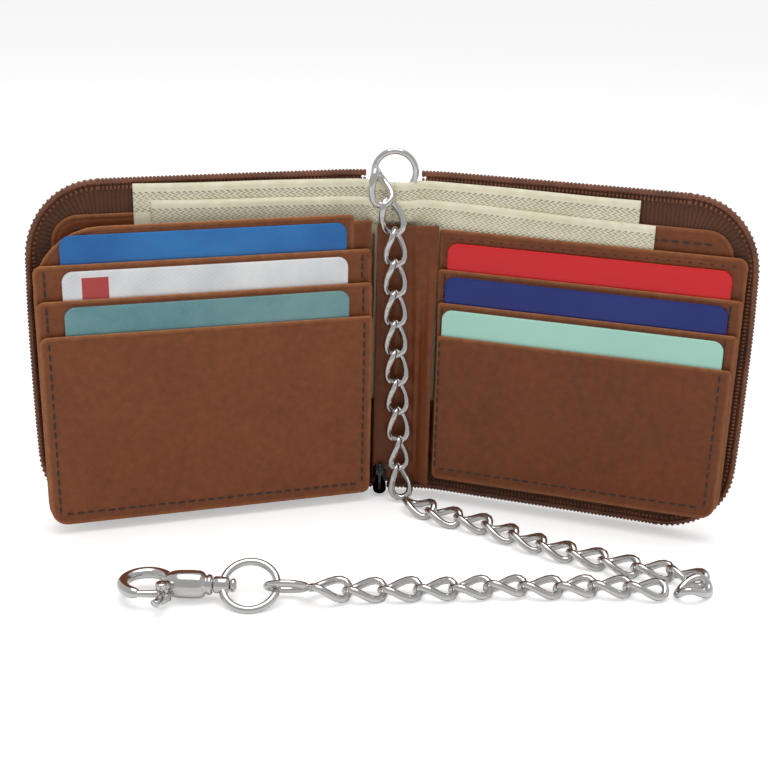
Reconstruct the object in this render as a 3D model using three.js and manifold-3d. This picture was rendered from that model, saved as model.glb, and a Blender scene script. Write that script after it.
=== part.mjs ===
// Zip-around bifold wallet standing open on its lower edge, with its anchor ring, curb chain and
// trigger clasp. Millimetres, +Z up. The origin is the foot of the spine, X runs along the open
// wallet, -Y faces the reader.
import * as THREE from 'three';
import { mergeVertices } from 'three/addons/utils/BufferGeometryUtils.js';
import Module from 'manifold-3d';

// ---- driving dimensions ----
const GAP = 0.3; // between layers that touch
const OPEN_ANGLE = THREE.MathUtils.degToRad(17.5); // each wing, forward of flat
const SPINE_WIDTH = 28; // fold line to fold line
const COVER_LENGTH = 91; // fold line to the outer edge of the cover
const COVER_HEIGHT = 92;
const COVER_THICKNESS = 1.2;
const COVER_CORNER = 15;
const FOLD_GAP = 0.5; // from each fold line to the leather on either side
const TAPE_FLARE = 6.6; // how far the zip tape stands out past the cover
const TAPE_HEM = 5; // how far it is sewn in under the cover's edge
const TAPE_THICKNESS = 0.6;
const COIL_DIAMETER = 2.4;
const LINING_THICKNESS = 0.5;
const LEATHER_THIN = 0.6; // dividers, panels and the page's backing
const POCKET_THICKNESS = 0.5;
const NOTE_LENGTH = 156;
const NOTE_HEIGHT = 66;
const NOTE_THICKNESS = 0.15;
const CARD_LENGTH = 85.6;
const CARD_HEIGHT = 54;
const CARD_THICKNESS = 0.76;
const CARD_CORNER = 3.18;
const CARD_PLAY = 0.4; // each side of a card in its pocket
const CARD_STEP = 10.2; // each pocket below the one behind it
const CARD_SHOW = 8.3; // how much of a card stands above its pocket
const SEAM = 3; // sewn margin of a pocket
const PANEL_TOP = 90;
const DIVIDER_TOP = 97;
const NOTE_TOP = 102;
const RIGHT_POCKET_TOP = 77.8;
const PAGE_WIDTH = 102;
const PAGE_HEIGHT = 91.5;
const PAGE_FOOT = 3;
const PAGE_CORNER = 6;
const PAGE_TOP_CORNER = 20;
const PAGE_POCKET_TOP = 84;
const PAGE_PIVOT = [-5.5, -7.7]; // where the page's hinge strip folds
const WINDOW_SIZE = [26, 58];
const RING_OUTER = 14.5;
const RING_WIRE = 1.9;
const RING_CENTRE = [0.3, -3.6, 107.2];
const CHAIN_TUBE = 6.2; // mean of a curb link's width and thickness
const CLASP_RING_OUTER = 17.5;
const CLASP_RING_WIRE = 2.2;
const CLASP_BARREL = 8;
const CLASP_BARREL_LENGTH = 13;
const CLAW_OUTER = 15.2;
const CLAW_WIRE = 3.2;
const CLASP_AXIS = [-77, 4.8]; // y and z of the clasp's long axis where it lies
const CLASP_RING_X = -37.5;
const CLASP_RING_TILT = THREE.MathUtils.degToRad(31); // the ring leans back from the ground
const POST_DIAMETER = 2;

// ---- dependent sizes ----
const HALF_SPINE = SPINE_WIDTH / 2;
const COVER_FOOT = TAPE_FLARE + COIL_DIAMETER / 2 + 0.2;
const COVER_TOP = COVER_FOOT + COVER_HEIGHT;
const COVER_HALF = COVER_THICKNESS / 2;
const LAYER_TAPE = COVER_HALF + GAP;
const LAYER_DIVIDER = LAYER_TAPE + TAPE_THICKNESS + GAP;
const LAYER_NOTE = LAYER_DIVIDER + LEATHER_THIN + GAP;
const LAYER_PANEL = LAYER_NOTE + 2 * (NOTE_THICKNESS + GAP);
const LAYER_CARDS = LAYER_PANEL + LEATHER_THIN + GAP;
const POCKET_PITCH = CARD_THICKNESS + GAP + POCKET_THICKNESS + GAP;
const PAGE_THICKNESS = LEATHER_THIN + 3 * POCKET_PITCH;
const CHAIN_RADIUS = CHAIN_TUBE / 2;

// ---- materials ----
function material(color, roughness, metalness) {
  return new THREE.MeshStandardMaterial({ color, roughness, metalness });
}
const COGNAC = 0x7a4a2c;
const COGNAC_DARK = 0x5c3722;
const LINING = 0x4a3024;
const TAPE = 0x3e2a20;
const COIL = 0x6b3b2b;
const PAPER = 0xe8e2d2;
const STEEL = 0xc8c9cc;
const BLACK = 0x141414;
const CARD_COLOURS = {
  card_blue: 0x2164b4, card_pale: 0xe1e4e6, card_teal: 0x5f9196,
  card_red: 0xc83232, card_navy: 0x2a366e, card_mint: 0xa0c8b9,
};

// ---- shared helpers ----
const wasm = await Module();
wasm.setup();

function toSolid(geometry) {
  const bare = geometry.clone();
  bare.deleteAttribute('normal');
  bare.deleteAttribute('uv');
  const merged = mergeVertices(bare, 1e-4);
  return new wasm.Manifold(new wasm.Mesh({
    numProp: 3,
    vertProperties: Float32Array.from(merged.attributes.position.array),
    triVerts: Uint32Array.from(merged.index.array),
  }));
}

function toGeometry(solid) {
  const mesh = solid.getMesh();
  const geometry = new THREE.BufferGeometry();
  geometry.setAttribute('position', new THREE.BufferAttribute(Float32Array.from(mesh.vertProperties), 3));
  geometry.setIndex(new THREE.BufferAttribute(Uint32Array.from(mesh.triVerts), 1));
  return geometry;
}

function join(...geometries) {
  return toGeometry(geometries.map(toSolid).reduce((whole, next) => whole.add(next)));
}

function cut(base, ...tools) {
  return toGeometry(tools.map(toSolid).reduce((rest, next) => rest.subtract(next), toSolid(base)));
}

function addPiece(parent, name, geometry, color, roughness = 0.6, metalness = 0) {
  const mesh = new THREE.Mesh(geometry, material(color, roughness, metalness));
  mesh.name = name;
  parent.add(mesh);
  return mesh;
}

// A box given by its low and high corners.
function block(low, high) {
  const size = high.map((value, axis) => value - low[axis]);
  const geometry = new THREE.BoxGeometry(...size);
  return geometry.translate(...low.map((value, axis) => value + size[axis] / 2));
}

// A rounded rectangle from (x0, z0) to (x1, z1); corners run from the low-left one anticlockwise.
function roundedShape(x0, z0, x1, z1, corners) {
  const [lowLeft, lowRight, highRight, highLeft] = corners;
  const shape = new THREE.Shape();
  shape.moveTo(x0 + lowLeft, z0);
  shape.lineTo(x1 - lowRight, z0);
  if (lowRight > 0) shape.absarc(x1 - lowRight, z0 + lowRight, lowRight, -Math.PI / 2, 0, false);
  shape.lineTo(x1, z1 - highRight);
  if (highRight > 0) shape.absarc(x1 - highRight, z1 - highRight, highRight, 0, Math.PI / 2, false);
  shape.lineTo(x0 + highLeft, z1);
  if (highLeft > 0) shape.absarc(x0 + highLeft, z1 - highLeft, highLeft, Math.PI / 2, Math.PI, false);
  shape.lineTo(x0, z0 + lowLeft);
  if (lowLeft > 0) shape.absarc(x0 + lowLeft, z0 + lowLeft, lowLeft, Math.PI, 1.5 * Math.PI, false);
  return shape;
}

// Stands a flat outline up in the XZ plane; it is thick towards -Y, from the layer's depth on.
function standing(shape, depth, thickness, curveSegments = 4) {
  const geometry = new THREE.ExtrudeGeometry(shape, { depth: thickness, bevelEnabled: false, curveSegments });
  return geometry.rotateX(Math.PI / 2).translate(0, -depth, 0);
}

// A standing sheet on a wing. Distances run outwards from the fold; side is +1 right, -1 left.
// The inner corners have one radius, the outer low and outer high corners their own.
function wingSheet(side, near, far, low, high, radii, depth, thickness) {
  const [inner, outerLow, outerHigh] = radii;
  const corners = side > 0 ? [inner, outerLow, outerHigh, inner] : [outerLow, inner, inner, outerHigh];
  const x0 = side > 0 ? near : -far;
  const x1 = side > 0 ? far : -near;
  return standing(roundedShape(x0, low, x1, high, corners), depth, thickness);
}

// A band round the three free sides of a cover, between two distances out from its edge.
function edgeBand(side, near, innerOffset, outerOffset, depth, thickness) {
  function edge(offset) {
    const radius = COVER_CORNER + offset;
    const far = COVER_LENGTH + offset;
    const low = COVER_FOOT - offset;
    const high = COVER_TOP + offset;
    const path = new THREE.Path();
    path.moveTo(near, low);
    path.lineTo(far - radius, low);
    path.absarc(far - radius, low + radius, radius, -Math.PI / 2, 0, false);
    path.lineTo(far, high - radius);
    path.absarc(far - radius, high - radius, radius, 0, Math.PI / 2, false);
    path.lineTo(near, high);
    return path.getPoints(6);
  }
  const outline = [...edge(outerOffset), ...edge(innerOffset).reverse()];
  return standing(new THREE.Shape(outline.map((p) => new THREE.Vector2(side * p.x, p.y))), depth, thickness);
}

// A torus standing in the XZ plane round a centre.
function ringSolid(outer, wire, sides = 8, segments = 28) {
  return new THREE.TorusGeometry((outer - wire) / 2, wire / 2, sides, segments).rotateX(Math.PI / 2);
}

// A tube of round section along a smooth curve through points.
function tubeThrough(points, radius, steps, sides = 8) {
  const curve = new THREE.CatmullRomCurve3(points.map((p) => new THREE.Vector3(...p)), false, 'centripetal');
  const section = new THREE.Shape();
  for (let i = 0; i < sides; i += 1) {
    const turn = (2 * Math.PI * i) / sides;
    const corner = [radius * Math.cos(turn), radius * Math.sin(turn)];
    if (i === 0) section.moveTo(...corner);
    else section.lineTo(...corner);
  }
  return new THREE.ExtrudeGeometry(section, { steps, extrudePath: curve });
}

// ---- a row of stepped pockets with their cards ----
// The pocket's skin is closed at its sides and under its card by a sewn rim behind it.
function pocket(side, near, width, foot, top, depth, footCorner) {
  const far = near + width;
  const rimWidth = (width - CARD_LENGTH) / 2 - CARD_PLAY;
  const cardFoot = top + CARD_SHOW - CARD_HEIGHT;
  const rimDepth = CARD_THICKNESS + GAP;
  const skinRadii = [Math.min(2, footCorner), footCorner, 1];
  const skin = wingSheet(side, near, far, foot, top, skinRadii, depth + rimDepth, POCKET_THICKNESS);
  const overlap = POCKET_THICKNESS / 2;
  const ends = [[near, near + rimWidth], [far - rimWidth, far]];
  const rims = ends.map(([a, b]) => wingSheet(
    side, a, b, foot + footCorner, top - 1, [0, 0, 0], depth, rimDepth + overlap));
  const shelf = wingSheet(
    side, near + 1, far - 1, cardFoot - GAP - SEAM, cardFoot - GAP, [0, 0, 0], depth, rimDepth + overlap);
  return join(skin, ...rims, shelf);
}

function card(side, near, width, top, depth) {
  const start = near + (width - CARD_LENGTH) / 2;
  const radii = [CARD_CORNER, CARD_CORNER, CARD_CORNER];
  const low = top + CARD_SHOW - CARD_HEIGHT;
  return wingSheet(side, start, start + CARD_LENGTH, low, low + CARD_HEIGHT, radii, depth, CARD_THICKNESS);
}

function addPocketRow(parent, side, near, width, foot, top, depth, footCorner, names) {
  names.forEach(([pocketName, cardName], row) => {
    const rowTop = top - row * CARD_STEP;
    const rowDepth = depth + row * POCKET_PITCH;
    addPiece(parent, cardName, card(side, near, width, rowTop, rowDepth), CARD_COLOURS[cardName], 0.35);
    addPiece(parent, pocketName, pocket(side, near, width, foot, rowTop, rowDepth, footCorner), COGNAC);
  });
}

// ---- wings ----
function addWing(side, prefix, noteReach) {
  const wing = new THREE.Group();
  wing.position.x = side * HALF_SPINE;
  wing.rotation.z = -side * OPEN_ANGLE;
  const near = FOLD_GAP;
  const corner = COVER_CORNER;
  addPiece(wing, `${prefix}_cover`, wingSheet(
    side, near, COVER_LENGTH, COVER_FOOT, COVER_TOP, [0, corner, corner], -COVER_HALF, COVER_THICKNESS), COGNAC);
  const tapeStart = 4;
  const tapeOut = TAPE_FLARE - COIL_DIAMETER / 2 - GAP;
  addPiece(wing, `${prefix}_zip_tape`, edgeBand(
    side, tapeStart, -TAPE_HEM, tapeOut, LAYER_TAPE, TAPE_THICKNESS), TAPE, 0.9);
  addPiece(wing, `${prefix}_zip_coil`, edgeBand(
    side, tapeStart, TAPE_FLARE - COIL_DIAMETER / 2, TAPE_FLARE + COIL_DIAMETER / 2,
    LAYER_TAPE + TAPE_THICKNESS / 2 - COIL_DIAMETER / 2, COIL_DIAMETER), COIL, 0.5);
  const inset = TAPE_HEM + GAP;
  const innerCorner = COVER_CORNER - inset;
  addPiece(wing, `${prefix}_lining`, wingSheet(
    side, 2, COVER_LENGTH - inset, COVER_FOOT + inset, COVER_TOP - inset,
    [0, innerCorner, innerCorner], LAYER_TAPE, LINING_THICKNESS), LINING, 0.9);
  addPiece(wing, `${prefix}_divider`, wingSheet(
    side, 2.5, COVER_LENGTH - 1, COVER_FOOT + 1, DIVIDER_TOP, [0, corner, corner], LAYER_DIVIDER, LEATHER_THIN),
  COGNAC_DARK);
  noteReach.forEach(([name, reach, top], index) => {
    addPiece(wing, name, wingSheet(
      side, 3.5, reach - HALF_SPINE, top - NOTE_HEIGHT, top, [0, 0.5, 0.5],
      LAYER_NOTE + index * (NOTE_THICKNESS + GAP), NOTE_THICKNESS), PAPER, 0.8);
  });
  return wing;
}

function addRightWing() {
  const wing = addWing(1, 'right', [
    ['note_back_right', NOTE_LENGTH / 2 - 2, NOTE_TOP],
    ['note_front_right', NOTE_LENGTH / 2 + 3, NOTE_TOP - 6],
  ]);
  const near = 1.5;
  const width = CARD_LENGTH + 2 * (SEAM + CARD_PLAY);
  addPiece(wing, 'right_panel', wingSheet(
    1, near, near + width + 0.6, COVER_FOOT + 0.3, PANEL_TOP, [0, 4, 4], LAYER_PANEL, LEATHER_THIN), COGNAC);
  addPocketRow(wing, 1, near, width, COVER_FOOT + 0.8, RIGHT_POCKET_TOP, LAYER_CARDS, 2, [
    ['right_pocket_1', 'card_red'],
    ['right_pocket_2', 'card_navy'],
    ['right_pocket_3', 'card_mint'],
  ]);
  return wing;
}

function addLeftWing() {
  const wing = addWing(-1, 'left', [
    ['note_back_left', NOTE_LENGTH / 2 + 2, NOTE_TOP],
    ['note_front_left', NOTE_LENGTH / 2 - 3, NOTE_TOP - 6],
  ]);
  const [windowWidth, windowHeight] = WINDOW_SIZE;
  const windowFar = COVER_LENGTH - 4;
  const windowNear = windowFar - windowWidth;
  const windowLow = COVER_FOOT + 8;
  const panel = wingSheet(
    -1, 2.5, COVER_LENGTH - 1.5, COVER_FOOT + 0.3, PANEL_TOP + 3, [0, 6, 14], LAYER_PANEL, LEATHER_THIN);
  const aperture = wingSheet(
    -1, windowNear, windowFar, windowLow, windowLow + windowHeight, [2, 2, 2], LAYER_PANEL - 1, LEATHER_THIN + 2);
  addPiece(wing, 'left_inner_panel', cut(panel, aperture), COGNAC_DARK);
  addPiece(wing, 'left_id_window', wingSheet(
    -1, windowNear + GAP, windowFar - GAP, windowLow + GAP, windowLow + windowHeight - GAP,
    [2, 2, 2], LAYER_PANEL + 0.15, 0.3), 0xd8dde0, 0.1);
  return wing;
}

// ---- the page: a leaf with pockets on its front, hinged on a strip at the spine ----
function addPage() {
  const page = new THREE.Group();
  page.position.set(...PAGE_PIVOT, 0);
  page.rotation.z = OPEN_ANGLE;
  const back = -PAGE_THICKNESS / 2;
  const stripWidth = 5.7;
  const top = PAGE_FOOT + PAGE_HEIGHT;
  addPiece(page, 'page_hinge_strip', wingSheet(
    -1, 0, stripWidth, PAGE_FOOT + 2, top - 2, [0, 0, 0], back, LEATHER_THIN), COGNAC_DARK);
  addPiece(page, 'page_back', wingSheet(
    -1, stripWidth + GAP, PAGE_WIDTH, PAGE_FOOT, top, [1, PAGE_CORNER, PAGE_TOP_CORNER], back, LEATHER_THIN), COGNAC);
  addPocketRow(page, -1, 0.3, PAGE_WIDTH - 0.3, PAGE_FOOT + 0.3, PAGE_POCKET_TOP, back + LEATHER_THIN + GAP,
    PAGE_CORNER - 1, [
      ['page_pocket_1', 'card_blue'],
      ['page_pocket_2', 'card_pale'],
      ['page_pocket_3', 'card_teal'],
    ]);
  return page;
}

// ---- spine ----
function addSpine() {
  const spine = new THREE.Group();
  const half = HALF_SPINE - FOLD_GAP;
  addPiece(spine, 'spine_cover', block([-half, -COVER_HALF, 0], [half, COVER_HALF, COVER_TOP + 1]), COGNAC);
  const liningFront = COVER_HALF + GAP + LINING_THICKNESS;
  addPiece(spine, 'spine_lining', block([-11, -liningFront, 3], [11, -COVER_HALF - GAP, COVER_TOP - 3]), LINING, 0.9);
  const panelBack = liningFront + GAP;
  addPiece(spine, 'spine_panel', block([-9, -panelBack - LEATHER_THIN, 5], [9, -panelBack, PANEL_TOP + 1.5]), COGNAC);
  const webBack = panelBack + LEATHER_THIN + GAP;
  addPiece(spine, 'page_web', block([-6.1, -4.5, 8], [-5.5, -webBack, 88]), COGNAC_DARK);
  return spine;
}

// The tab is folded round the lowest part of the ring, which runs freely in it.
function addRing() {
  const [x, y, z] = RING_CENTRE;
  const ring = new THREE.Group();
  const tabHalf = RING_WIRE / 2 + 1.05;
  const tab = block([x - 2.8, y - tabHalf, 93], [x + 2.8, y + tabHalf, 102.4]);
  const tunnel = ringSolid(RING_OUTER + 2 * GAP, RING_WIRE + 2 * GAP).translate(x, y, z);
  addPiece(ring, 'ring_tab', cut(tab, tunnel), COGNAC_DARK);
  addPiece(ring, 'anchor_ring', ringSolid(RING_OUTER, RING_WIRE).translate(x, y, z), STEEL, 0.2, 1);
  return ring;
}

// ---- the zip's joined end at the spine's foot, its slider and pull ----
function addSlider() {
  const zip = new THREE.Group();
  const x = -2.2;
  addPiece(zip, 'zip_end_coil', block([x - 1.2, -3.7, 1], [x + 1.2, -2.6, 18]), COIL, 0.5);
  const body = block([x - 3, -6.1, 4], [x + 3, -2.5, 12]);
  const track = block([x - 1.5, -4.0, 3], [x + 1.5, -2.0, 13]);
  const bail = block([x - 0.8, -8.2, 9.2], [x + 0.8, -5.8, 12]);
  const eye = new THREE.CylinderGeometry(0.6, 0.6, 4, 12).rotateZ(Math.PI / 2).translate(x, -7.1, 10.6);
  addPiece(zip, 'zip_slider', cut(join(body, bail), track, eye), BLACK, 0.2, 0.6);
  return zip;
}

// ---- chain: plain tubes where the links lie ----
// The out run and the back run each start in a ball, so that they turn where they meet.
const CHAIN_DROP = [
  [-4.6, -5.3, 106.4], [-4.6, -7.0, 106.4], [-4.1, -9.2, 103.6], [-2.4, -9.6, 98.6], [-0.4, -9.2, 94],
  [0.7, -8.7, 88], [1.1, -8.5, 76], [1.6, -8.5, 60], [2.4, -8.5, 44], [3.2, -8.5, 28], [3.8, -8.7, 15],
  [4.2, -9.1, 9], [4.6, -10.0, 5.0], [5.7, -12.2, 3.3],
];
const CHAIN_FOOT = [7.5, -15.8, 3.2];
const CHAIN_OUT = [
  CHAIN_FOOT, [12, -20.5, 3.2], [19, -26, 3.2], [29, -30.5, 3.2], [40, -39, 3.2], [51, -46.5, 3.2],
  [62, -52, 3.2], [73, -57, 3.2], [83, -59.5, 3.2], [90, -62.5, 3.2], [89.5, -68, 3.2], [83.4, -69.85, 3.2],
];
const CHAIN_TURN = [79.4, -70, 3.2];
const CHAIN_BACK = [
  CHAIN_TURN, [71, -69, 3.2], [60, -68.6, 3.2], [49, -70, 3.2], [38, -69.6, 3.2], [26.5, -71.2, 3.2],
  [15, -72.6, 3.2], [4, -73.4, 3.2], [-6, -74.3, 3.2], [-14, -75.8, 3.7], [-20.1, -77, 4.7],
];

function chainRun(points, steps) {
  const ball = new THREE.SphereGeometry(CHAIN_RADIUS, 10, 8).rotateX(Math.PI / 2).translate(...points[0]);
  return join(tubeThrough(points, CHAIN_RADIUS, steps), ball);
}

function addChain() {
  const chain = new THREE.Group();
  addPiece(chain, 'chain_drop', tubeThrough(CHAIN_DROP, CHAIN_RADIUS, 14), STEEL, 0.25, 1);
  addPiece(chain, 'chain_out', chainRun(CHAIN_OUT, 16), STEEL, 0.25, 1);
  addPiece(chain, 'chain_back', chainRun(CHAIN_BACK, 12), STEEL, 0.25, 1);
  return chain;
}

// ---- clasp: swivel ring, body with its claw, pin and trigger ----
// A round bar along X between two places, on the clasp's long axis.
function axialBar(diameter, x0, x1, sides = 16) {
  const bar = new THREE.CylinderGeometry(diameter / 2, diameter / 2, x1 - x0, sides).rotateZ(Math.PI / 2);
  return bar.translate((x0 + x1) / 2, ...CLASP_AXIS);
}

function addClasp() {
  const clasp = new THREE.Group();
  const [y, z] = CLASP_AXIS;
  const legX = CLASP_RING_X - (CLASP_RING_OUTER - CLASP_RING_WIRE) / 2;
  const legInner = CLASP_RING_X + CLASP_RING_OUTER / 2 - CLASP_RING_WIRE;
  const linkWire = 1.8;
  const linkRadius = 3.4;
  const linkStretch = 1.6;
  const linkX = legInner - GAP + (linkRadius - linkWire / 2) * linkStretch;
  const link = new THREE.TorusGeometry(linkRadius, linkWire / 2, 8, 24).scale(linkStretch, 1, 1);
  link.rotateX(-Math.PI / 4).translate(linkX, y, z);
  addPiece(clasp, 'connector_link', link, STEEL, 0.25, 1);

  const bossEnds = [legX - 2.4, legX + 2];
  const ring = new THREE.TorusGeometry((CLASP_RING_OUTER - CLASP_RING_WIRE) / 2, CLASP_RING_WIRE / 2, 8, 32);
  ring.rotateX(CLASP_RING_TILT).translate(CLASP_RING_X, y, z);
  const boss = axialBar(4.8, ...bossEnds);
  const bore = axialBar(POST_DIAMETER + 2 * GAP, bossEnds[0] - 1, bossEnds[1] + 1);
  addPiece(clasp, 'clasp_ring', cut(join(ring, boss), bore), STEEL, 0.2, 1);

  const barrelStart = bossEnds[0] - GAP;
  const barrelEnd = barrelStart - CLASP_BARREL_LENGTH;
  const knobStart = bossEnds[1] + GAP;
  const clawRadius = (CLAW_OUTER - CLAW_WIRE) / 2;
  const clawX = barrelEnd + 0.6 - clawRadius;
  const pinX = barrelEnd - 0.4;
  const pinY = y - clawRadius + 0.8;
  const gateHalf = 1.1;
  const claw = new THREE.TorusGeometry(clawRadius, CLAW_WIRE / 2, 8, 28).translate(clawX, y, z);
  const mouth = block([clawX + 0.9, y - clawRadius - 3, z - 3], [pinX + 4, y - 2.6, z + 3]);
  const lug = block([pinX - 1.7, pinY - 1.6, z - 2.7], [pinX + 3, pinY + 3, z + 2.7]);
  const slot = block([pinX - 4, pinY - 4, z - gateHalf - GAP], [pinX + 1.7, pinY + 1.7, z + gateHalf + GAP]);
  const pinHole = new THREE.CylinderGeometry(0.8, 0.8, 8, 12).rotateX(Math.PI / 2).translate(pinX, pinY, z);
  const body = join(
    axialBar(CLASP_BARREL, barrelEnd, barrelStart), axialBar(POST_DIAMETER, barrelStart - 1, knobStart + 0.5),
    axialBar(4, knobStart, knobStart + 1.7), cut(claw, mouth), lug);
  addPiece(clasp, 'clasp_body', cut(body, slot, pinHole), STEEL, 0.2, 1);
  addPiece(clasp, 'trigger_pin', new THREE.CylinderGeometry(0.5, 0.5, 5, 12).rotateX(Math.PI / 2)
    .translate(pinX, pinY, z), STEEL, 0.3, 1);
  const eye = new THREE.CylinderGeometry(1.3, 1.3, 2 * gateHalf, 14).rotateX(Math.PI / 2).translate(pinX, pinY, z);
  const gate = block([clawX + 1.2, pinY - 1.6, z - gateHalf], [pinX, pinY + 0.4, z + gateHalf]);
  const thumb = block([pinX - 1, pinY - 6, z - gateHalf], [pinX + 1, pinY, z + gateHalf]);
  addPiece(clasp, 'trigger', cut(join(eye, gate, thumb), pinHole), STEEL, 0.2, 1);
  return clasp;
}

// ---- zip pull ----
function addPull() {
  const pull = new THREE.Group();
  const [x, y, z] = [-2.2, -7.1, 10.6];
  const plate = block([x - 1.8, y - 0.6, 1.2], [x + 1.8, y + 0.6, 8.6]);
  const arms = [-1.8, 1.2].map((near) => block([x + near, y - 0.6, 8], [x + near + 0.6, y + 0.6, z + 0.8]));
  const pin = new THREE.CylinderGeometry(0.35, 0.35, 3.4, 10).rotateZ(Math.PI / 2).translate(x, y, z);
  addPiece(pull, 'zip_pull', join(plate, ...arms, pin), BLACK, 0.2, 0.6);
  return pull;
}

const model = new THREE.Group();
model.add(
  addSpine(), addLeftWing(), addRightWing(), addPage(), addRing(), addSlider(), addPull(), addChain(), addClasp());
export default model;
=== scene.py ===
import math

import bpy
import numpy as np
from mathutils import Matrix


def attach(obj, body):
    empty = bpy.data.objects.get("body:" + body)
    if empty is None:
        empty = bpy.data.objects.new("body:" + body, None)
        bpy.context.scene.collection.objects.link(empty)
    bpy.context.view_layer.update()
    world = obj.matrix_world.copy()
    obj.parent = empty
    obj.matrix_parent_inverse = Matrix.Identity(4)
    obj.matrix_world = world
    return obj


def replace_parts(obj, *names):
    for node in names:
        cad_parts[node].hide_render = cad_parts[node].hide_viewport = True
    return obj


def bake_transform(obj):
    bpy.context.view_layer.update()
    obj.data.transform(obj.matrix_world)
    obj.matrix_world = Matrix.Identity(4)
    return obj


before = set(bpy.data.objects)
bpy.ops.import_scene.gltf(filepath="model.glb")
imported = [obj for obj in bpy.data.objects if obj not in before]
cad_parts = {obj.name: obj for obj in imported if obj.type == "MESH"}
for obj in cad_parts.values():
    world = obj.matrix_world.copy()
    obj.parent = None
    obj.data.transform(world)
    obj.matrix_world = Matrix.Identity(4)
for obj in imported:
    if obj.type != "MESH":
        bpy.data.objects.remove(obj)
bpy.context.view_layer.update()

MM = 0.001

# ---- Camera ----
# Stands a forearm's length in front of the open wallet, a little above it, and leans slightly to one side.
CAMERA_PLACE = np.array([-1.5, -395.0, 184.6]) * MM
CAMERA_PITCH = math.radians(20.5)
CAMERA_ROLL = math.radians(1.4)
CAMERA_LENS = 60.7  # on a 36 mm wide sensor

camera = bpy.data.objects.new("camera", bpy.data.cameras.new("camera"))
camera.data.lens = CAMERA_LENS
camera.data.sensor_width = 36
camera.data.clip_start = 0.01
camera.matrix_world = (
    Matrix.Translation(CAMERA_PLACE.tolist())
    @ Matrix.Rotation(math.pi / 2 - CAMERA_PITCH, 4, "X")
    @ Matrix.Rotation(CAMERA_ROLL, 4, "Z")
)
bpy.context.collection.objects.link(camera)
bpy.context.scene.camera = camera


# ---- Curb chain ----
# Nickel-plated steel wire, each link a twisted oval threaded through the last, so the chain lies flat.
# It hangs from the anchor ring down the fold, runs out over the table, turns and comes back to the clasp.
LINK_WIRE = 2.2
LINK_WIDTH = 8.6
LINK_LENGTH = 13.4
LINK_TWIST = 1.55  # how far the wire rises and falls round the link
LINK_PITCH = 9.6
CHAIN_LIE = 2.7  # height of the flat chain's middle over the table


def outward(vertices, faces):
    """One closed solid's faces, turned so that they face outwards: the volume inside them comes out positive."""
    parts = faces if isinstance(faces, (list, tuple)) else [faces]
    volume = 0.0
    for part in parts:
        corners = np.asarray(vertices)[part]
        for k in range(1, part.shape[1] - 1):
            volume += np.einsum("ij,ij->", corners[:, 0], np.cross(corners[:, k], corners[:, k + 1]))
    return [part[:, ::-1] for part in parts] if volume < 0 else list(parts)


def build(name, vertices, faces, body=None, material=None, slot=None, uv=None, smooth=True, **attributes):
    """Makes one mesh piece from arrays in millimetres; faces is one array, or several of different width."""
    face_sets = faces if isinstance(faces, (list, tuple)) else [faces]
    mesh = bpy.data.meshes.new(name)
    mesh.from_pydata((np.asarray(vertices) * MM).tolist(), [], [f for part in face_sets for f in part.tolist()])
    if uv is not None:
        layer = mesh.uv_layers.new(name="UVMap")
        corners = np.empty(len(mesh.loops), int)
        mesh.loops.foreach_get("vertex_index", corners)
        layer.data.foreach_set("uv", np.asarray(uv, np.float32)[corners].ravel())
    for key, values in attributes.items():
        mesh.attributes.new(key, "FLOAT", "POINT").data.foreach_set("value", np.asarray(values, np.float32))
    mesh.polygons.foreach_set("use_smooth", np.full(len(mesh.polygons), smooth))
    mesh.update()
    piece = bpy.data.objects.new(name, mesh)
    bpy.context.collection.objects.link(piece)
    if material is not None:
        mesh.materials.append(material)
    if body is not None:
        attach(piece, body)
    return piece


def grid_faces(rows, columns, wrap_rows=False, wrap_columns=False):
    """Quads over a grid of vertices numbered row by row, joined round where a direction wraps."""
    index = np.arange(rows * columns).reshape(rows, columns)
    if wrap_rows:
        index = np.vstack([index, index[:1]])
    if wrap_columns:
        index = np.hstack([index, index[:, :1]])
    low, high = index[:-1], index[1:]
    return np.stack([low[:, :-1], low[:, 1:], high[:, 1:], high[:, :-1]], -1).reshape(-1, 4)


def closing_fans(rows, columns):
    """Triangles that close both ends of a tube-like grid on two further vertices, numbered after it."""
    around = np.arange(columns)
    after = (around + 1) % columns
    last = (rows - 1) * columns
    first_end, last_end = np.full(columns, rows * columns), np.full(columns, rows * columns + 1)
    return [np.stack([after, around, first_end], -1), np.stack([last + around, last + after, last_end], -1)]


def unit(vectors):
    """Each vector divided by its length."""
    return vectors / np.maximum(np.linalg.norm(vectors, axis=-1, keepdims=True), 1e-9)


def spline(points, step):
    """A smooth curve through points (Catmull-Rom), resampled evenly: step millimetres apart."""
    p = np.asarray(points, float)
    p = np.vstack([2 * p[0] - p[1], p, 2 * p[-1] - p[-2]])
    t = np.linspace(0, 1, 24, endpoint=False)[:, None, None]
    a, b, c, d = (p[k:len(p) - 3 + k][None] for k in range(4))
    dense = 0.5 * (2 * b + (c - a) * t + (2 * a - 5 * b + 4 * c - d) * t ** 2 + (3 * b - a - 3 * c + d) * t ** 3)
    dense = np.vstack([dense.transpose(1, 0, 2).reshape(-1, 3), p[-2]])
    along = np.concatenate([[0], np.cumsum(np.linalg.norm(np.diff(dense, axis=0), axis=1))])
    places = np.linspace(0, along[-1], max(2, round(along[-1] / step) + 1))
    return np.stack([np.interp(places, along, dense[:, k]) for k in range(3)], -1), along[-1]


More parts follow.
